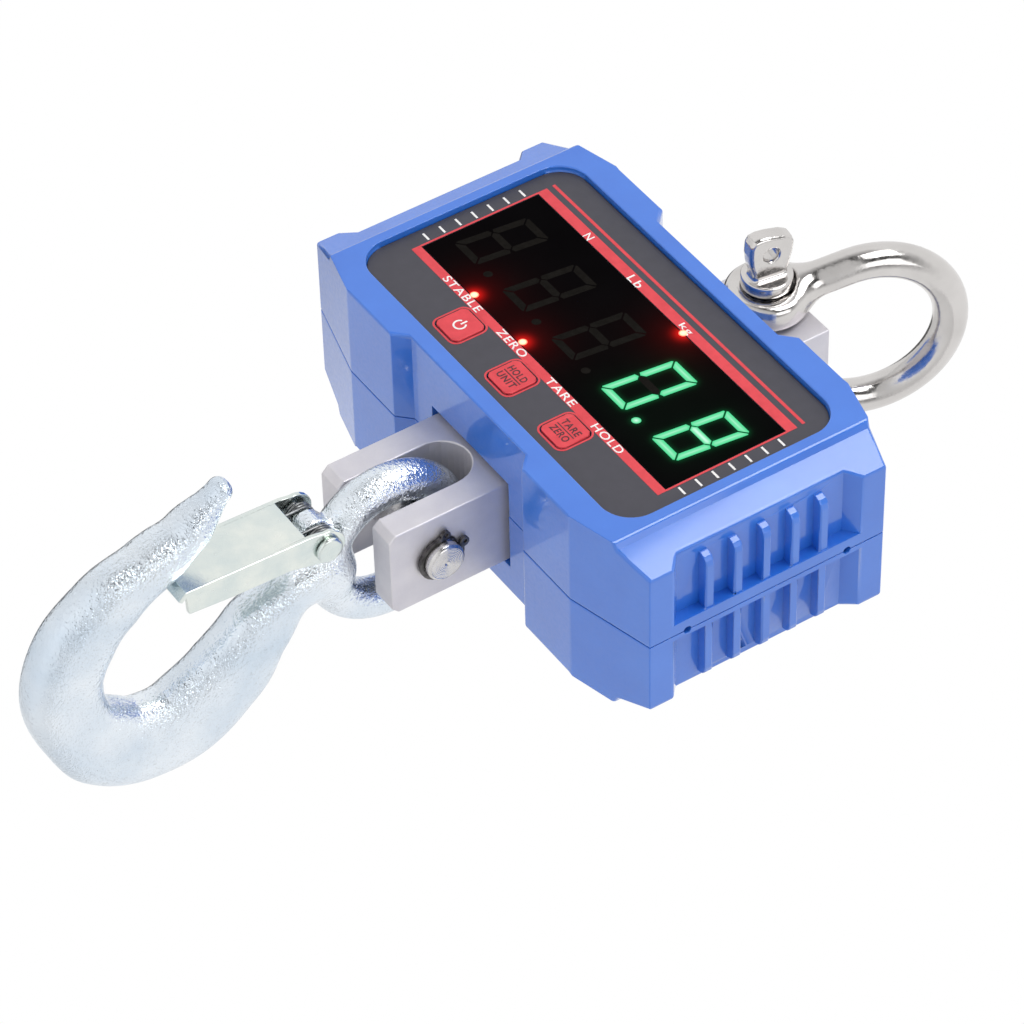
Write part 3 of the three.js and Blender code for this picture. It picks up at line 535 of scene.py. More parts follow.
# %% [markdown]
# ## The forged hook
# The hook is one forging: an eye, a neck and a bowl that thins towards the tip. Its centre line
# is a smooth curve through a few points, and its section is a squared-off oval whose width
# changes along the line. The line follows the solid model's closely, and the widths and the tip
# differ from it a little.

# %% The hook's centre line
rivet = centre_of("latch_rivet")
EYE_FROM_RIVET = np.array([0.0, 21.8, -16.0])
eye = rivet + EYE_FROM_RIVET
EYE_RADIUS, EYE_ROD = 18.5, 5.6
LINE_POINTS = [
    [-16, 0.2], [-26.3, 0.2], [-37.3, -7.3], [-50.4, -20.8], [-65.5, -28.5], [-80.8, -26],
    [-92.2, -13.4], [-94.8, 2], [-89, 15.2], [-78.4, 24.2], [-67.9, 29], [-59.4, 32.7],
    [-53.4, 36.9], [-46.2, 43.0],
]
HALF_WIDTHS = [5, 6.6, 10.6, 13.2, 14.3, 13.4, 12.5, 10.4, 10.9, 11.1, 9.6, 7.2, 5.4, 2.9]
HALF_THICKNESS = 6.8
SQUARENESS = 2.7


def smooth_line(knots, samples):
    """A centripetal Catmull-Rom curve: between two knots it is the cubic whose end slopes come from
    the neighbouring knots, with each stretch timed by the square root of its length."""
    knots = np.asarray(knots, float)
    ends = [2 * knots[:1] - knots[1:2], knots, 2 * knots[-1:] - knots[-2:-1]]
    p0, p1, p2, p3 = (np.concatenate(ends)[k : k + len(knots) - 1, None] for k in range(4))
    gaps = ((p0, p1), (p1, p2), (p2, p3))
    d0, d1, d2 = (np.sqrt(np.linalg.norm(b - a, axis=-1))[..., None] for a, b in gaps)
    m1 = ((p1 - p0) / d0 - (p2 - p0) / (d0 + d1) + (p2 - p1) / d1) * d1
    m2 = ((p2 - p1) / d1 - (p3 - p1) / (d1 + d2) + (p3 - p2) / d2) * d1
    t = np.linspace(0, 1, samples, endpoint=False)[None, :, None]
    curve = p1 + m1 * t + (3 * (p2 - p1) - 2 * m1 - m2) * t**2 + (2 * (p1 - p2) + m1 + m2) * t**3
    return np.concatenate([curve.reshape(-1, knots.shape[1]), knots[-1:]])


line = smooth_line(np.array(LINE_POINTS) + eye[1:], 30)
step_lengths = np.linalg.norm(np.diff(line, axis=0), axis=1)
along = np.concatenate([[0], np.cumsum(step_lengths)])
print(f"the hook's centre line is {along[-1]:.0f} mm long")

# %% [markdown]
# The section at any point depends on the nearest place on the line. Those distances and widths
# are worked out once on a fine flat grid in the hook's plane and looked up after that.

# %% The hook's section table
spot = along / along[-1] * (len(HALF_WIDTHS) - 1)
first = np.minimum(spot.astype(int), len(HALF_WIDTHS) - 2)
blend = (spot - first) ** 2 * (3 - 2 * (spot - first))
widths = np.array(HALF_WIDTHS)
line_width = widths[first] * (1 - blend) + widths[first + 1] * blend
tangent = np.gradient(line, axis=0)
tangent /= np.linalg.norm(tangent, axis=1)[:, None]
TABLE_STEP, TABLE_MARGIN = 0.4, 20
table_low, table_high = line.min(0) - TABLE_MARGIN, line.max(0) + TABLE_MARGIN
table_up = np.arange(table_low[0], table_high[0], TABLE_STEP)
table_out = np.arange(table_low[1], table_high[1], TABLE_STEP)
grid_points = np.stack(np.meshgrid(table_up, table_out, indexing="ij"), -1).reshape(-1, 2)
nearest = np.concatenate([
    ((block[:, None] - line[None]) ** 2).sum(-1).argmin(1)
    for block in np.array_split(grid_points, 40)
])
offset = grid_points - line[nearest]
sideways = offset[:, 0] * tangent[nearest, 1] - offset[:, 1] * tangent[nearest, 0]
endways = (offset * tangent[nearest]).sum(1)
at_end = (nearest == 0) | (nearest == len(line) - 1)
spread = np.where(at_end, np.hypot(sideways, endways), np.abs(sideways))
shape = (len(table_up), len(table_out))
section_table = np.stack([spread, line_width[nearest]], -1).reshape(*shape, 2)


def look_up(table, up, out):
    """The table's values at any points, mixed from the four nearest grid points."""
    u = np.clip((up - table_up[0]) / TABLE_STEP, 0, shape[0] - 1.001)
    o = np.clip((out - table_out[0]) / TABLE_STEP, 0, shape[1] - 1.001)
    u, o = np.broadcast_arrays(u, o)
    i, j = u.astype(int), o.astype(int)
    fu, fo = (u - i)[..., None], (o - j)[..., None]
    low = table[i, j] * (1 - fo) + table[i, j + 1] * fo
    high = table[i + 1, j] * (1 - fo) + table[i + 1, j + 1] * fo
    return low * (1 - fu) + high * fu


# %% The hook's field
TIP_THICKER = 0.6
LUG_FOOT = eye[1:] + [-27.0, 3.0]
RIVET_LUG_R, RIVET_LUG_HALF, RIVET_LUG_ROUNDING = 4.3, 3.0, 0.9
RIVET_HOLE_R = 2.7
EYE_FILLET, RIVET_LUG_FILLET, HOLE_EDGE = 6.0, 2.5, 0.4
HOOK_INSET = 0.12
HOOK_LOW, HOOK_HIGH = (-7.5, eye[1] - 108, eye[2] - 44), (7.5, eye[1] + 25, eye[2] + 48)
HOOK_STEP = 0.62


def hook_field(across, up, out):
    """The forging, the eye's ring and the rivet's lug, softly joined, less the rivet's hole. The
    forging is where (offset / width) to a power plus (across / thickness) to it is under one."""
    values = look_up(section_table, up, out)
    width = values[..., 1]
    thick = np.minimum(HALF_THICKNESS, width + TIP_THICKER)
    measure = (values[..., 0] / width) ** SQUARENESS + np.abs(across / thick) ** SQUARENESS
    forging = (measure ** (1 / SQUARENESS) - 1) * np.minimum(width, thick)
    ring = np.hypot(np.hypot(up - eye[1], out - eye[2]) - EYE_RADIUS, across) - EYE_ROD
    aside = off_stretch(up, out, LUG_FOOT, rivet[1:])
    lug = disc_field(aside, across, RIVET_LUG_R, RIVET_LUG_HALF, RIVET_LUG_ROUNDING)
    body = soft_min(soft_min(forging, ring, EYE_FILLET), lug, RIVET_LUG_FILLET)
    hole = RIVET_HOLE_R - np.hypot(up - rivet[1], out - rivet[2])
    return soft_max(body, hole, HOLE_EDGE) + HOOK_INSET


hook_shape = field_surface(hook_field, HOOK_LOW, HOOK_HIGH, HOOK_STEP)
add_piece("forged_hook", *hook_shape, forged_zinc, "hook", "forged_zinc", ["hook"])

# %% [markdown]
# ## Turned pieces
# Pins and rivets come off a lathe, so each is a profile of radius and position carried round an
# axis.


# %% Turned piece helper
def turned_shape(profile, centre, axis, sides=64):
    """Radius and position pairs carried round an axis through the centre: 0 across, 1 up, 2 out."""
    radius, position = np.array(profile, float).T
    angle = np.linspace(0, 2 * math.pi, sides, endpoint=False)
    one, two = [(1, 2), (2, 0), (0, 1)][axis]
    points = np.zeros((len(radius), sides, 3))
    points[..., axis] = position[:, None]
    points[..., one] = radius[:, None] * np.cos(angle)
    points[..., two] = radius[:, None] * np.sin(angle)
    faces = grid_faces(len(radius), sides)[:, ::-1]
    return points.reshape(-1, 3) + centre, faces


def capped(profile):
    """A profile with a tiny start and end radius, so that its two ends close at the axis."""
    start, end = profile[0][1], profile[-1][1]
    return [[0.001, start], *profile, [0.001, end]]


# %% Latch rivet
rivet_low, rivet_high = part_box("latch_rivet")
rivet_half = (rivet_high.x - rivet_low.x) / 2 / MM
head = [[3.5, 1.3], [3.7, 1.1], [3.7, 0.6], [3.55, 0.3], [3.2, 0.12], [2.4, 0.04], [1.2, 0.01]]
SHANK_R, SHANK_END = 2.4, 8.9
right_head = [[r, rivet_half - z] for r, z in head]
left_head = [[r, -p] for r, p in right_head[::-1]]
shank = [[SHANK_R, -SHANK_END], [SHANK_R, SHANK_END]]
rivet_profile = capped(left_head + shank + right_head)
rivet_shape = turned_shape(rivet_profile, [0, rivet[1], rivet[2]], 0, 48)
rivet_name = "latch_rivet_finished"
add_piece(rivet_name, *rivet_shape, sheet_zinc, "hook", "latch_zinc", ["latch_rivet"])

# %% Hook pin with tool marks on its ends
pin = centre_of("hook_pin")
pin_low, pin_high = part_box("hook_pin")
pin_half = (pin_high.x - pin_low.x) / 2 / MM
PIN_R, GROOVE_AT, GROOVE_DEPTH, GROOVE_EDGE = 5.5, 16.3, 0.6, 0.02
MARK_COUNT, MARK_DEPTH, MARK_WAVES = 44, 0.03, 14
mark_radius = np.linspace(4.6, 0.3, MARK_COUNT)
mark_height = pin_half - 0.05 - MARK_DEPTH * (1 + np.sin(mark_radius * MARK_WAVES))
marks = np.column_stack([mark_radius, mark_height])
marks[-6:, 1] -= np.linspace(0, 0.5, 6)
end_profile = np.array([
    [PIN_R, GROOVE_AT - GROOVE_EDGE], [PIN_R - GROOVE_DEPTH, GROOVE_AT],
    [PIN_R - GROOVE_DEPTH, GROOVE_AT + 1.4], [PIN_R, GROOVE_AT + 1.42],
    [PIN_R, pin_half - 0.75], [PIN_R - 0.1, pin_half - 0.5], [PIN_R - 0.75, pin_half - 0.05],
])
pin_side = np.concatenate([end_profile, marks])
pin_profile = capped(np.concatenate([pin_side[::-1] * [1, -1], pin_side]).tolist())
pin_shape = turned_shape(pin_profile, [0, pin[1], pin[2]], 0, 72)
hook_pin_piece = add_piece(
    "hook_pin_finished", *pin_shape, turned_steel, "scale_body", "pin_steel", ["hook_pin"]
)
hook_pin_piece.data.set_sharp_from_angle(angle=math.radians(35))

# %% [markdown]
# ## Latch spring
# A double torsion spring of round wire lies round the rivet on both sides of the lug, and its bow
# pushes the latch shut from under its web. It is a tube carried along two helices and the bow.


# %% Latch spring
def wire_tube(path, radius, sides=10):
    """A tube of constant radius: at each point of the path a circle stands square to the path."""
    path = np.asarray(path, float)
    forward = np.gradient(path, axis=0)
    forward /= np.linalg.norm(forward, axis=1)[:, None]
    side = np.cross(forward, [1.0, 0.2, 0.1])
    side /= np.linalg.norm(side, axis=1)[:, None]
    third = np.cross(forward, side)
    angle = np.linspace(0, 2 * math.pi, sides, endpoint=False)[None, :, None]
    ring = path[:, None] + radius * (np.cos(angle) * side[:, None] + np.sin(angle) * third[:, None])
    ends = [np.repeat(path[:1], sides, 0)[None], ring, np.repeat(path[-1:], sides, 0)[None]]
    rows = np.concatenate(ends)
    return rows.reshape(-1, 3), grid_faces(len(rows), sides)


COIL_TURNS, COIL_R, COIL_FROM, COIL_LONG = 3, 3.6, 3.9, 2.6
WIRE_R = 0.42
turn = np.linspace(0, 1, 91)
coil_angle = math.pi / 2 - turn * COIL_TURNS * 2 * math.pi
coil_up, coil_out = COIL_R * np.cos(coil_angle), COIL_R * np.sin(coil_angle)
right_coil = np.column_stack([COIL_FROM + COIL_LONG * turn, coil_up, coil_out])
bow_knots = [[0, -9.0, 3.6], [2.6, -8.8, 3.6], [3.8, -7, 3.6], [3.9, -3.2, 3.6], [3.9, 0, 3.6]]
bow = smooth_line(bow_knots, 8)[:-1]
right_half = np.concatenate([bow, right_coil])
left_half = right_half[:0:-1] * [-1, 1, 1]
spring_line = np.concatenate([left_half, right_half]) + [0, rivet[1], rivet[2]]
spring_shape = wire_tube(spring_line, WIRE_R)
spring_name, spring_on = "latch_spring_finished", "safety_latch"
add_piece(spring_name, *spring_shape, spring_wire, spring_on, "spring_steel", ["latch_spring"])

# %% [markdown]
# ## The shackle
# A bow shackle is a bent round bar whose ends are forged into flat round lugs. The bar's line is
# most of a circle with two straight legs, the lugs are thick discs, and a soft minimum flows one
# into the other. It is polished all over, so the surface has to be truly smooth.

# %% The shackle's field
BOW_TILT = math.radians(19.4)
BOW_R, BOW_CENTRE = 23.6, 27.4
LUG_IN, LUG_OUT, LUG_R = 14.0, 22.4, 11.3
pin_up = 54.3
pin_out = centre_of("load_cell")[2]
lug_mid = (LUG_IN + LUG_OUT) / 2
leg_reach = math.hypot(BOW_CENTRE, lug_mid)
leg_turn = math.atan2(lug_mid, -BOW_CENTRE) - math.acos(BOW_R / leg_reach)
leg_top = np.array([BOW_CENTRE + BOW_R * math.cos(leg_turn), BOW_R * math.sin(leg_turn)])
leg_foot = np.array([3.0, lug_mid])
BAR_R, LUG_ROUNDING, BAR_FILLET = 4.8, 2.6, 5.0
GAP_TOP, GAP_EDGE = 14.0, 0.8
BORE_R, SEAT_R, BORE_EDGE = 6.3, 7.55, 0.5
POLISH_INSET = 0.03


def tilted(across, up, out):
    """Coordinates of the shackle: along its bow, aside from the bow's plane, and out."""
    up = up - pin_up
    along_bow = across * math.sin(BOW_TILT) + up * math.cos(BOW_TILT)
    aside = across * math.cos(BOW_TILT) - up * math.sin(BOW_TILT)
    return along_bow, aside, out - pin_out


def shackle_field(across, up, out):
    """The bar's field is the distance to its line less its half thickness; it joins the two lug
    discs, and the space between the lugs, the bore and the collar's seat are taken away."""
    along_bow, aside, out = tilted(across, up, out)
    side = np.abs(out)
    angle = np.arctan2(side, along_bow - BOW_CENTRE)
    on_bow = np.hypot(along_bow - BOW_CENTRE, side) - BOW_R
    on_leg = off_stretch(along_bow, side, leg_top, leg_foot)
    off_line = np.where(angle < leg_turn, np.abs(on_bow), on_leg)
    bent_bar = np.hypot(off_line, aside) - BAR_R
    off_pin = np.hypot(along_bow, aside)
    lug = disc_field(off_pin, side - lug_mid, LUG_R, (LUG_OUT - LUG_IN) / 2, LUG_ROUNDING)
    body = soft_min(bent_bar, lug, BAR_FILLET)
    between = np.minimum(LUG_IN - side, GAP_TOP - along_bow)
    body = soft_max(body, between, GAP_EDGE)
    seat = np.minimum(SEAT_R - off_pin, out - LUG_OUT)
    return soft_max(soft_max(body, BORE_R - off_pin, BORE_EDGE), seat, BORE_EDGE) + POLISH_INSET


SHACKLE_LOW, SHACKLE_HIGH = (-13, pin_up - 13, pin_out - 30), (35, pin_up + 57, pin_out + 30)
SHACKLE_STEP = 0.55
shackle_shape = field_surface(shackle_field, SHACKLE_LOW, SHACKLE_HIGH, SHACKLE_STEP)
shackle_name, shackle_slot = "polished_shackle", "shackle_steel"
add_piece(shackle_name, *shackle_shape, mirror_steel, "shackle", shackle_slot, ["shackle"])

# %% [markdown]
# The screw pin has a round shank, a collar, and a flat eye to turn it by. The eye's plate grows
# out of the collar in one forging, so it is a field too.

# %% The screw pin
COLLAR_FOOT = LUG_OUT + 0.3
PIN_TURN = math.radians(-8)
PLATE_OUTLINE = np.array([
    [-4.6, 1.5], [4.6, 1.5], [4.8, 3.9], [5.6, 6.8], [6.5, 10.5], [6.8, 13.4], [6.2, 15.1],
    [4.0, 16.3], [-0.2, 17.2], [-2.9, 17.4], [-4.9, 16.9], [-5.9, 15.3], [-6.1, 12.1],
    [-5.8, 8.9], [-5, 5.7],
])
PLATE_HALF, PLATE_ROUNDING, PLATE_FILLET = 2.5, 1.2, 1.4
PIN_EYE_OUT, PIN_EYE_R, PIN_EYE_EDGE = 11.1, 2.2, 0.7


def outline_distance(outline, x, y):
    """Distance to a closed outline, negative inside: the least distance to its edges, with the sign
    of how often a line from the point to one side crosses the outline."""
    x, y = np.broadcast_arrays(x, y)
    least, inside = np.full(x.shape, 1e9), np.zeros(x.shape, bool)
    for (ax, ay), (bx, by) in zip(outline, np.roll(outline, -1, 0)):
        least = np.minimum(least, off_stretch(x, y, (ax, ay), (bx, by)))
        run_y = by - ay
        at = ax + (y - ay) * (bx - ax) / (run_y if run_y else 1)
        inside ^= ((ay > y) != (by > y)) & (x < at)
    return np.where(inside, -least, least)


def screw_pin_field(across, up, out):
    """A shank, a collar disc and a flat plate with rounded edges, less the plate's hole."""
    up, out = up - pin_up, out - pin_out
    flat = across * math.cos(PIN_TURN) + up * math.sin(PIN_TURN)
    wide = -across * math.sin(PIN_TURN) + up * math.cos(PIN_TURN)
    radial = np.hypot(across, up)
    shank = disc_field(radial, out + 0.5, 6.0, LUG_OUT + 1.4, 0.7)
    collar = disc_field(radial, out - COLLAR_FOOT - 1.8, 6.95, 1.78, 0.5)
    collar = soft_min(shank, collar, 0.3)
    edge = outline_distance(PLATE_OUTLINE, wide, out - COLLAR_FOOT) + PLATE_ROUNDING
    side = np.abs(flat) - PLATE_HALF + PLATE_ROUNDING
    outside = np.hypot(np.maximum(edge, 0), np.maximum(side, 0))
    eye_plate = outside + np.minimum(np.maximum(edge, side), 0) - PLATE_ROUNDING
    hole = PIN_EYE_R - np.hypot(wide, out - COLLAR_FOOT - PIN_EYE_OUT)
    return soft_max(soft_min(collar, eye_plate, PLATE_FILLET), hole, PIN_EYE_EDGE) + POLISH_INSET


SCREW_LOW, SCREW_HIGH = (-8.5, pin_up - 8.5, pin_out - 26), (8.5, pin_up + 8.5, pin_out + 42)
SCREW_STEP = 0.42
screw_shape = field_surface(screw_pin_field, SCREW_LOW, SCREW_HIGH, SCREW_STEP)
screw_name, screw_on = "polished_screw_pin", "shackle_pin"
add_piece(screw_name, *screw_shape, mirror_steel, screw_on, "shackle_steel", ["shackle_pin"])

# %% [markdown]
# ## The front panel's print
# The inks are thin plates that lie on the film: a red frame, a thin red line, white tick marks
# and plain legends for the keys, the lamps and the units.

# %% Red frame and white ticks
film_top = (parting_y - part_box("overlay_film")[0].y) / MM
INK, LIFT = 0.05, 0.01


def bar(a0, a1, u0, u1):
    """A flat bar between two corners, as an outline."""
    return [[a0, u0], [a1, u0], [a1, u1], [a0, u1]]


def inked(outlines):
    """Several outlines as thin plates that lie on the film."""
    return joined([plate(o, film_top + LIFT, film_top + INK) for o in outlines])


# Left, right, foot and top of the strips below and above the window, the thin line, and the sides.
RED_BARS = [
    (-55.9, 55.9, -19.2, -16.55), (-55.9, 55.9, 20.15, 23.2), (-56, 55.6, 24.95, 25.85),
    (-55.95, -55.35, -16.55, 20.15), (55.35, 55.95, -16.55, 20.15),
]
frame_shape = inked([bar(*sides) for sides in RED_BARS])
add_piece("panel_red_frame", *frame_shape, red_ink, "scale_body", "key_red", smooth=False)
TICKS, TICK_PITCH, TICK_FOOT, TICK_ACROSS = 7, 5.03, -13.4, 57.95
TICK_LONG, TICK_WIDE = 1.45, 0.3
ticks = [
    bar(a - TICK_LONG, a + TICK_LONG, u - TICK_WIDE, u + TICK_WIDE)
    for a in (-TICK_ACROSS, TICK_ACROSS)
    for u in (TICK_FOOT + k * TICK_PITCH for k in range(TICKS))
]
add_piece("panel_ticks", *inked(ticks), white_ink, "scale_body", "panel_film", smooth=False)


# %% Legends
LETTER_DEEP, LETTER_GAP = 0.03, 1.15


def lettering(name, words, extent, at, material, body, bold):
    """Plain words as a thin mesh, stretched to a width and height and centred on a panel point."""
    curve = bpy.data.curves.new(name, "FONT")
    curve.body, curve.size, curve.extrude, curve.offset = words, 1, 0.01, bold
    curve.align_x, curve.align_y, curve.space_character = "CENTER", "CENTER", LETTER_GAP
    text = bpy.data.objects.new(name, curve)
    bpy.context.scene.collection.objects.link(text)
    shown = text.evaluated_get(bpy.context.evaluated_depsgraph_get())
    mesh = bpy.data.meshes.new_from_object(shown)
    points = np.zeros(len(mesh.vertices) * 3)
    mesh.vertices.foreach_get("co", points)
    points = points.reshape(-1, 3)
    low, high = points.min(0), points.max(0)
    size = np.array([*extent, LETTER_DEEP])
    middle = [at[0], at[1], at[2] + LETTER_DEEP]
    points = (points - (low + high) / 2) / (high - low) * size + middle
    mesh.vertices.foreach_set("co", place(points).ravel())
    mesh.materials.clear()
    mesh.materials.append(material)
    bpy.data.objects.remove(text)
    bpy.data.curves.remove(curve)
    piece = bpy.data.objects.new(name, mesh)
    bpy.context.scene.collection.objects.link(piece)
    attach(piece, body)
    return piece


ink_top = film_top + INK
LEGENDS = {"STABLE": (-33.7, 16), "ZERO": (-10.8, 11.9), "TARE": (11.4, 11.9), "HOLD": (32.2, 12.2)}
UNITS = {"N": (-33.6, 2.3), "Lb": (-12.2, 5.0), "kg": (10.1, 4.6)}
for kind, words, up, tall in (("legend_", LEGENDS, -17.85, 2.4), ("unit_", UNITS, 21.3, 2.5)):
    for word, (across, wide) in words.items():
        name, at = kind + word.lower(), (across, up, ink_top)
        lettering(name, word, (wide, tall), at, white_ink, "scale_body", 0.008)

# %% [markdown]
# ## The keys
# Each key is a square dome under the film, printed red, with a gap of dark film and then a thin red
# outline round it. The key's cap moves with its own body, and the outlines stay on the film.

# %% Key caps
KEYS = {"power_key": None, "hold_unit_key": ("HOLD", "UNIT"), "tare_zero_key": ("TARE", "ZERO")}
WORD_SIZE, WORD_LIFT = (6.9, 2.15), 1.75
DIVIDER_LONG, DIVIDER_WIDE = 3.6, 0.16
for key, words in KEYS.items():
    rounded_copy(key, red_ink, key, 0.25 * MM, 3)
    low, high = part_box(key)
    across, up, _ = centre_of(key)
    top = (parting_y - low.y) / MM
    if words:
        for word, lift in zip(words, (WORD_LIFT, -WORD_LIFT)):
            name, at = f"{key}_{word.lower()}", (across, up + lift, top)
            lettering(name, word, WORD_SIZE, at, dark_ink, key, 0.02)
        sides = (across - DIVIDER_LONG, across + DIVIDER_LONG, up - DIVIDER_WIDE, up + DIVIDER_WIDE)
        divider = plate(bar(*sides), top + LIFT, top + 0.04)
        add_piece(key + "_divider", *divider, dark_ink, key, "key_red", smooth=False)


def ring_plate(inner, outer, out_low, out_high):
    """A flat ring between two outlines with the same number of points."""
    n = len(inner)
    rows = [(inner, out_low), (inner, out_high), (outer, out_high), (outer, out_low)]
    points = np.stack([np.column_stack([outline, np.full(n, out)]) for outline, out in rows])
    return points.reshape(-1, 3), grid_faces(5, n) % (4 * n)


RING_IN, RING_OUT = (5.35, 5.35, 2.2), (5.85, 5.85, 2.6)
key_rings = []
for key in KEYS:
    across, up, _ = centre_of(key)
    inner, outer = rounded_box(across, up, *RING_IN), rounded_box(across, up, *RING_OUT)
    key_rings.append(ring_plate(inner, outer, film_top + LIFT, film_top + INK))
add_piece("key_outlines", *joined(key_rings), red_ink, "scale_body", "key_red", smooth=False)

# %% Power sign: an open ring with a bar in its gap
across, up, _ = centre_of("power_key")
top = (parting_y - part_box("power_key")[0].y) / MM
SIGN_IN, SIGN_OUT, SIGN_DROP = 1.35, 1.85, 0.1
arc = np.radians(np.linspace(125, 415, 40))
arc_inner, arc_outer = (
    np.column_stack([across + r * np.cos(arc), up - SIGN_DROP + r * np.sin(arc)])
    for r in (SIGN_IN, SIGN_OUT)
)
arc_outline = np.concatenate([arc_outer, arc_inner[::-1]])
stroke = bar(across - 0.25, across + 0.25, up + 0.2, up + 2.2)
sign = joined([plate(outline, top + LIFT, top + INK) for outline in (arc_outline, stroke)])
add_piece("power_sign", *sign, white_ink, "power_key", "key_red", smooth=False)

# %% [markdown]
# ## The display
# The real scale has five seven-segment digits behind its window. Here they are thin plates on the
# window's dark face, because nothing shows through it. A segment is a flat bar with pointed ends,
# and the digits lean slightly. Lit segments give light of their own, brightest along the middle,
# and the face round them carries a faint painted glow: the window face itself gives light there, as
# a stand-in for the digits' light spreading in the window. Two digits are lit and the rest are
# dark.

# %% Segment shapes
window_low, window_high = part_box("display_window")
window_top = (parting_y - window_low.y) / MM
DIGIT_LEFT = (-51.8, -29.4, -7.0, 15.4, 37.8)
DIGIT_FOOT, DIGIT_W, DIGIT_H, LEAN = -8.9, 10.7, 21.4, 2.6
STROKE, END_GAP, CUT = 2.1, 0.32, 0.6
READING = {3: "abcdef.", 4: "abcdefg"}
DOT_R, DOT_ASIDE, DOT_UP = 1.2, 4.6, 0.65
DOT_ANGLE = np.linspace(0, 2 * math.pi, 24, endpoint=False)


def segment_outlines():
    """Outlines of the seven segments and the point of an upright digit."""
    w, h, s, g = DIGIT_W, DIGIT_H, STROKE, END_GAP
    top = [
        [g + CUT, h], [w - g - CUT, h], [w - g - CUT / 2, h - CUT / 2],
        [w - s - g, h - s], [s + g, h - s], [g + CUT / 2, h - CUT / 2],
    ]
    side = [
        [0, h - g - CUT], [CUT / 2, h - g - CUT / 2], [s, h - s - g],
        [s, h / 2 + s / 2 + 0.2], [s / 2, h / 2 + 0.25], [0, h / 2 + 0.7],
    ]
    middle = [
        [s / 2 + g, h / 2], [s + 0.25, h / 2 + s / 2], [w - s - 0.25, h / 2 + s / 2],
        [w - s / 2 - g, h / 2], [w - s - 0.25, h / 2 - s / 2], [s + 0.25, h / 2 - s / 2],
    ]
    dot_across = DIGIT_W + DOT_ASIDE + DOT_R * np.cos(DOT_ANGLE)
    dot = np.column_stack([dot_across, DOT_UP + DOT_R * np.sin(DOT_ANGLE)])
    shapes = {"a": top, "f": side, "g": middle, ".": dot}
    shapes = {name: np.array(outline, float) for name, outline in shapes.items()}
    flip_up, flip_side = np.array([0, h]), np.array([w, 0])
    shapes["d"] = (flip_up + shapes["a"] * [1, -1])[::-1]
    shapes["e"] = (flip_up + shapes["f"] * [1, -1])[::-1]
    shapes["b"] = (flip_side + shapes["f"] * [-1, 1])[::-1]
    shapes["c"] = (flip_side + shapes["e"] * [-1, 1])[::-1]
    return shapes


def leaned(points, digit):
    """Points of an upright digit, sheared to lean and moved to the digit's place."""
    x, y = points[..., 0], points[..., 1]
    return np.stack([DIGIT_LEFT[digit] + x + LEAN * y / DIGIT_H, DIGIT_FOOT + y], -1)


def segment_ends(outline):
    """The two ends of a segment's middle line: the box's middle, along its longer side."""
    low, high = outline.min(0), outline.max(0)
    middle, half = (low + high) / 2, (high - low) / 2
    reach = np.where(half > STROKE * 0.8, half - STROKE * 0.55, 0)
    return middle - reach, middle + reach


def segment_shape(outline, digit, out, brightness):
    """The outline with a second one inside it, drawn a quarter of the way from the middle line, and
    a point in the middle. Marks run from nothing on the outline to the brightness in the middle."""
    start, end = segment_ends(outline)
    run = end - start
    share = np.clip(((outline - start) @ run) / max(run @ run, 1e-9), 0, 1)[:, None]
    core = (start + share * run) * 0.75 + outline * 0.25
    n = len(outline)
    flat = leaned(np.concatenate([outline, core, [(start + end) / 2]]), digit)
    points = np.column_stack([flat, np.full(2 * n + 1, out)])
    faces = [[k, (k + 1) % n, n + (k + 1) % n, n + k] for k in range(n)]
    faces += [[n + k, n + (k + 1) % n, 2 * n] for k in range(n)]
    spin = np.cross(np.append(outline[1] - outline[0], 0), np.append(outline[2] - outline[1], 0))[2]
    faces = faces if spin > 0 else [face[::-1] for face in faces]
    return points, faces, [0.0] * n + [0.5 * brightness] * n + [brightness]


# %% Lit segments
def glowing(name, low, high, strength):
    """A finish that gives light, from the low colour at mark 0 to the high colour at mark 1."""
    finish = Finish(name, srgb(20, 20, 20), 0.4)
    mark = finish.nodes.new("ShaderNodeAttribute")
    mark.attribute_name = "mark"
    light = finish.ramp(mark.outputs["Fac"], low, high, 0.0, 1.0)
    finish.links.new(light, finish.shader.inputs["Emission Color"])
    finish.shader.inputs["Emission Strength"].default_value = strength
    return finish.material


green_light = glowing("green_light", srgb(24, 216, 136), srgb(200, 255, 228), 1.0)
outlines = segment_outlines()
BRIGHT, DIM, LIT_LIFT, UNLIT_LIFT = 1.4, 0.6, 0.03, 0.02
lit, unlit, lit_marks = [], [], []
for digit in range(len(DIGIT_LEFT)):
    for name, outline in outlines.items():
        on = name in READING.get(digit, "")
        brightness = BRIGHT if (digit, name) == (4, "g") or name == "." else DIM
        out = window_top + (LIT_LIFT if on else UNLIT_LIFT)
        points, faces, mark = segment_shape(outline, digit, out, brightness)
        if on:
            lit.append((points, faces))
            lit_marks += mark
        elif name != "." or digit < 3:
            unlit.append((points, faces))
lit_piece = add_piece("lit_segments", *joined(lit), green_light, "scale_body", "window_tint")
lit_piece.data.attributes.new("mark", "FLOAT", "POINT").data.foreach_set("value", lit_marks)
add_piece("unlit_segments", *joined(unlit), unlit_segment, "scale_body", "window_tint")

# %% The window with its painted glow
LAMPS_LIT = [(-31.7, -15.6), (-9.6, -15.4), (11.0, 20.0)]
ROWS, COLUMNS = 73, 221
window_a = np.linspace((window_low.x - middle_x) / MM, (window_high.x - middle_x) / MM, COLUMNS)
window_u = np.linspace((window_low.z - middle_z) / MM, (window_high.z - middle_z) / MM, ROWS)
sheet_a, sheet_u = np.meshgrid(window_a, window_u, indexing="xy")


def halo(away, near, reach, far):
    """Glow at a distance: a bell of that height and reach, plus a tail that falls off over 4 mm."""
    return near * np.exp(-((away / reach) ** 2)) + far * np.exp(-away / 4)
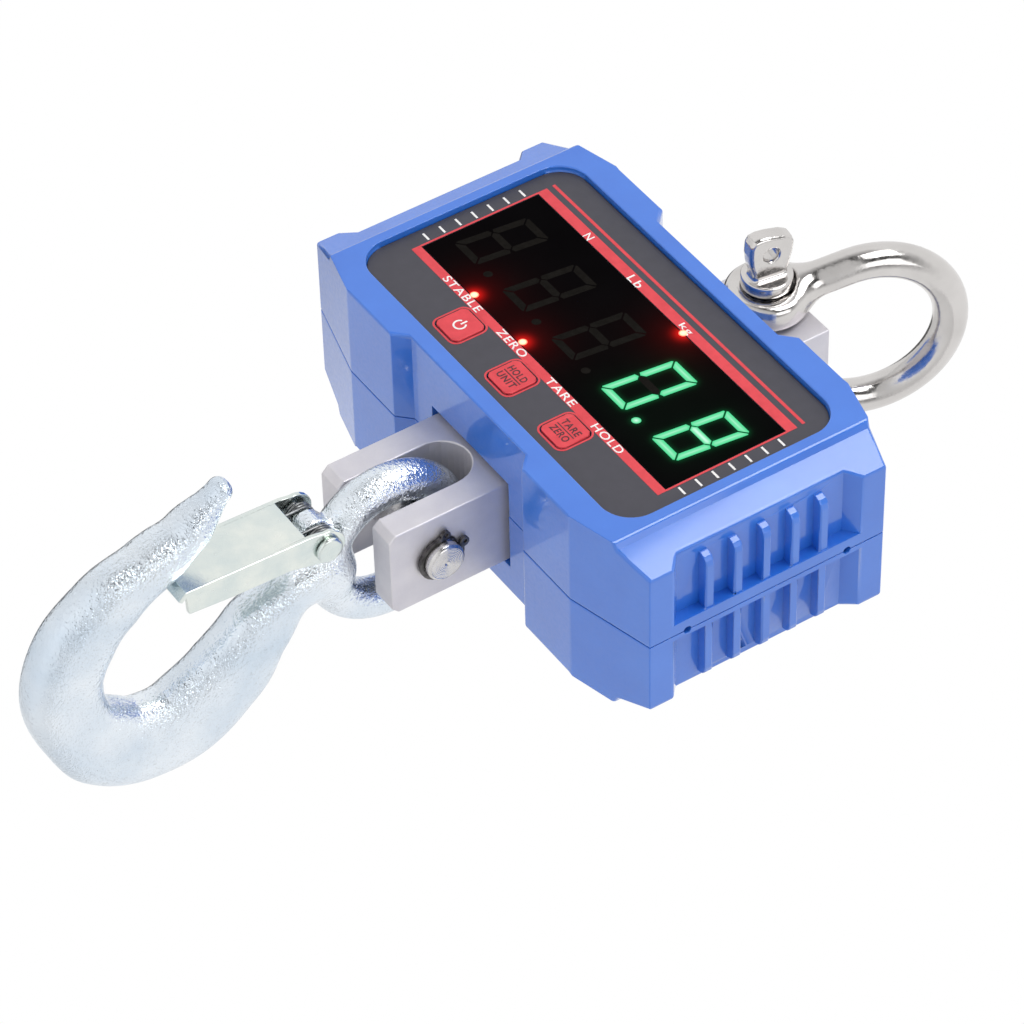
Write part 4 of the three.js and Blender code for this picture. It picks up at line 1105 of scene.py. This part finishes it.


# Painted glow: the window face gives light of its own, green round the lit segments and red round
# the lit lamps, standing in for their light spreading in the tinted window.
glow_green = np.zeros_like(sheet_a)
for digit, names in READING.items():
    for name in names:
        start, end = (leaned(p, digit) for p in segment_ends(outlines[name]))
        glow_green += halo(off_stretch(sheet_a, sheet_u, start, end), 0.4, 1.4, 0.012)
glow_red = sum(halo(np.hypot(sheet_a - a, sheet_u - u), 0.8, 2.2, 0.1) for a, u in LAMPS_LIT)
window_points = np.stack([sheet_a, sheet_u, np.full_like(sheet_a, window_top + LIFT)], -1)
window_shape = window_points.reshape(-1, 3), grid_faces(ROWS, COLUMNS, wrap=False)
tint = Finish("tinted_window", srgb(9, 8, 9), 0.25, Specular_IOR_Level=0.0)
tint.color(tint.ramp(tint.noise(90, 3), srgb(8, 7, 8), srgb(10, 9, 10)))
glow = tint.nodes.new("ShaderNodeAttribute")
glow.attribute_name = "glow"
tint.links.new(glow.outputs["Color"], tint.shader.inputs["Emission Color"])
tint.shader.inputs["Emission Strength"].default_value = 1.0
window = add_piece("window_face", *window_shape, tint.material, "scale_body", "window_tint")
green, red = np.array(srgb(10, 110, 60)[:3]), np.array(srgb(255, 30, 24)[:3])
green_share, red_share = (np.minimum(g, 1).reshape(-1, 1) for g in (glow_green, glow_red))
glow_colors = green_share * green + red_share * red
glow_values = np.column_stack([glow_colors, np.ones(len(glow_colors))]).ravel()
glow_attribute = window.data.attributes.new("glow", "FLOAT_COLOR", "POINT")
glow_attribute.data.foreach_set("color", glow_values)

# %% Lit lamps
lamp_light = glowing("lamp_light", srgb(255, 60, 40), srgb(255, 244, 190), 1.6)
LAMP_SIDES = 28
LAMP_RINGS = np.array([1.25, 0.75, 0.001])[:, None]
LAMP_HEIGHTS = np.array([0.05, 0.1, 0.12])[:, None]
LAMP_MARKS = (0.0, 0.7, 1.0)
ring_angle = np.linspace(0, 2 * math.pi, LAMP_SIDES, endpoint=False)
lamp_out = np.full((3, LAMP_SIDES), film_top + 0.02) + LAMP_HEIGHTS
lamp_parts = []
for a, u in LAMPS_LIT:
    lamp_across = a + LAMP_RINGS * np.cos(ring_angle)
    lamp_up = u + LAMP_RINGS * np.sin(ring_angle)
    lamp_points = np.stack([lamp_across, lamp_up, lamp_out], -1).reshape(-1, 3)
    lamp_parts.append((lamp_points, grid_faces(3, LAMP_SIDES)))
lamp_marks = [mark for mark in LAMP_MARKS for _ in range(LAMP_SIDES)] * len(LAMPS_LIT)
lamp_piece = add_piece("lit_lamps", *joined(lamp_parts), lamp_light, "scale_body", "lamp_red")
lamp_piece.data.attributes.new("mark", "FLOAT", "POINT").data.foreach_set("value", lamp_marks)

# %% [markdown]
# ## Camera, light and floor
# The scale is drawn upright, as it hangs. The camera looks at it from below its display's right
# corner through a long lens. The room is pale and even, with broad soft lights. It is darker on
# the camera's side and far to the left, so that polished metal has something dark to show.

# %% Camera
CAMERA_AT = (754.9, -508.2, 854.8)
AZIMUTH, ELEVATION, ROLL = math.radians(57.44), math.radians(44.31), math.radians(-1.58)
LENS, SENSOR = 169.9, 36.0
flat_reach = math.cos(ELEVATION)
back_across, back_up = math.sin(AZIMUTH) * flat_reach, -math.cos(AZIMUTH) * flat_reach
back = np.array([back_across, back_up, math.sin(ELEVATION)])
level = np.array([math.cos(AZIMUTH), math.sin(AZIMUTH), 0])
over = np.cross(back, level)
right = math.cos(ROLL) * level + math.sin(ROLL) * over
above = -math.sin(ROLL) * level + math.cos(ROLL) * over
axes = [Vector(place(v) - place([0, 0, 0])).normalized() for v in (right, above, back)]
camera_data = bpy.data.cameras.new("camera")
camera_data.lens, camera_data.sensor_width = LENS, SENSOR
camera_data.clip_start, camera_data.clip_end = 0.05, 20
camera = bpy.data.objects.new("camera", camera_data)
bpy.context.scene.collection.objects.link(camera)
turned = Matrix([[axes[c][r] for c in range(3)] for r in range(3)]).to_4x4()
camera.matrix_world = Matrix.Translation(Vector(place(CAMERA_AT))) @ turned
bpy.context.scene.camera = camera

# %% World
world = bpy.data.worlds.new("pale_room")
world.use_nodes = True
bpy.context.scene.world = world
nodes, links = world.node_tree.nodes, world.node_tree.links
direction = nodes.new("ShaderNodeTexCoord")


def dark_side(toward, start, end, low):
    """A number for each direction: 1 away from one side, fading to low as the direction turns to
    it. Start and end are cosines of the angle to that side, between which it fades."""
    facing = nodes.new("ShaderNodeVectorMath")
    facing.operation = "DOT_PRODUCT"
    facing.inputs[1].default_value = toward
    links.new(direction.outputs["Generated"], facing.inputs[0])
    fade = nodes.new("ShaderNodeMapRange")
    spans = {"From Min": start, "From Max": end, "To Min": 1.0, "To Max": low}
    for socket, value in spans.items():
        fade.inputs[socket].default_value = value
    links.new(facing.outputs["Value"], fade.inputs["Value"])
    return fade.outputs["Result"]


far_left = Vector(place([-0.9, 0.1, -0.42]) - place([0, 0, 0])).normalized()
both = nodes.new("ShaderNodeMath")
both.operation = "MULTIPLY"
links.new(dark_side(axes[2], 0.22, 0.72, 0.07), both.inputs[0])
links.new(dark_side(far_left, 0.94, 0.97, 0.1), both.inputs[1])
links.new(both.outputs["Value"], nodes["Background"].inputs["Strength"])
nodes["Background"].inputs["Color"].default_value = (1, 1, 1, 1)
bpy.context.scene.view_settings.view_transform = "Standard"


# %% Lights
def softbox(name, where, size, power, aim=(0, 0, 0)):
    """A square area light at a point of the panel's space, turned to face another point."""
    data = bpy.data.lights.new(name, "AREA")
    data.size, data.energy = size, power
    light = bpy.data.objects.new(name, data)
    at, to = Vector(place(where)), Vector(place(aim))
    facing = (at - to).to_track_quat("Z", "Y").to_matrix().to_4x4()
    light.matrix_world = Matrix.Translation(at) @ facing
    bpy.context.scene.collection.objects.link(light)


softbox("top_light", (360, 480, 1150), 0.7, 9)
softbox("right_light", (1200, 200, 400), 0.7, 3)
softbox("low_light", (200, -1200, 300), 0.7, 3)

# %% Floor
FLOOR_Z, FLOOR_HALF = middle_z - 0.66, 4
floor_signs = ((-1, -1), (1, -1), (1, 1), (-1, 1))
floor_corners = [(x * FLOOR_HALF, y * FLOOR_HALF, FLOOR_Z) for x, y in floor_signs]
floor_mesh = bpy.data.meshes.new("floor")
floor_mesh.from_pydata(floor_corners, [], [[0, 1, 2, 3]])
floor_finish = Finish("pale_floor", srgb(236, 236, 236), 0.6)
floor_tone = floor_finish.ramp(floor_finish.noise(6), srgb(232, 232, 232), srgb(240, 240, 240))
floor_finish.color(floor_tone)
floor_mesh.materials.append(floor_finish.material)
floor = bpy.data.objects.new("floor", floor_mesh)
bpy.context.scene.collection.objects.link(floor)
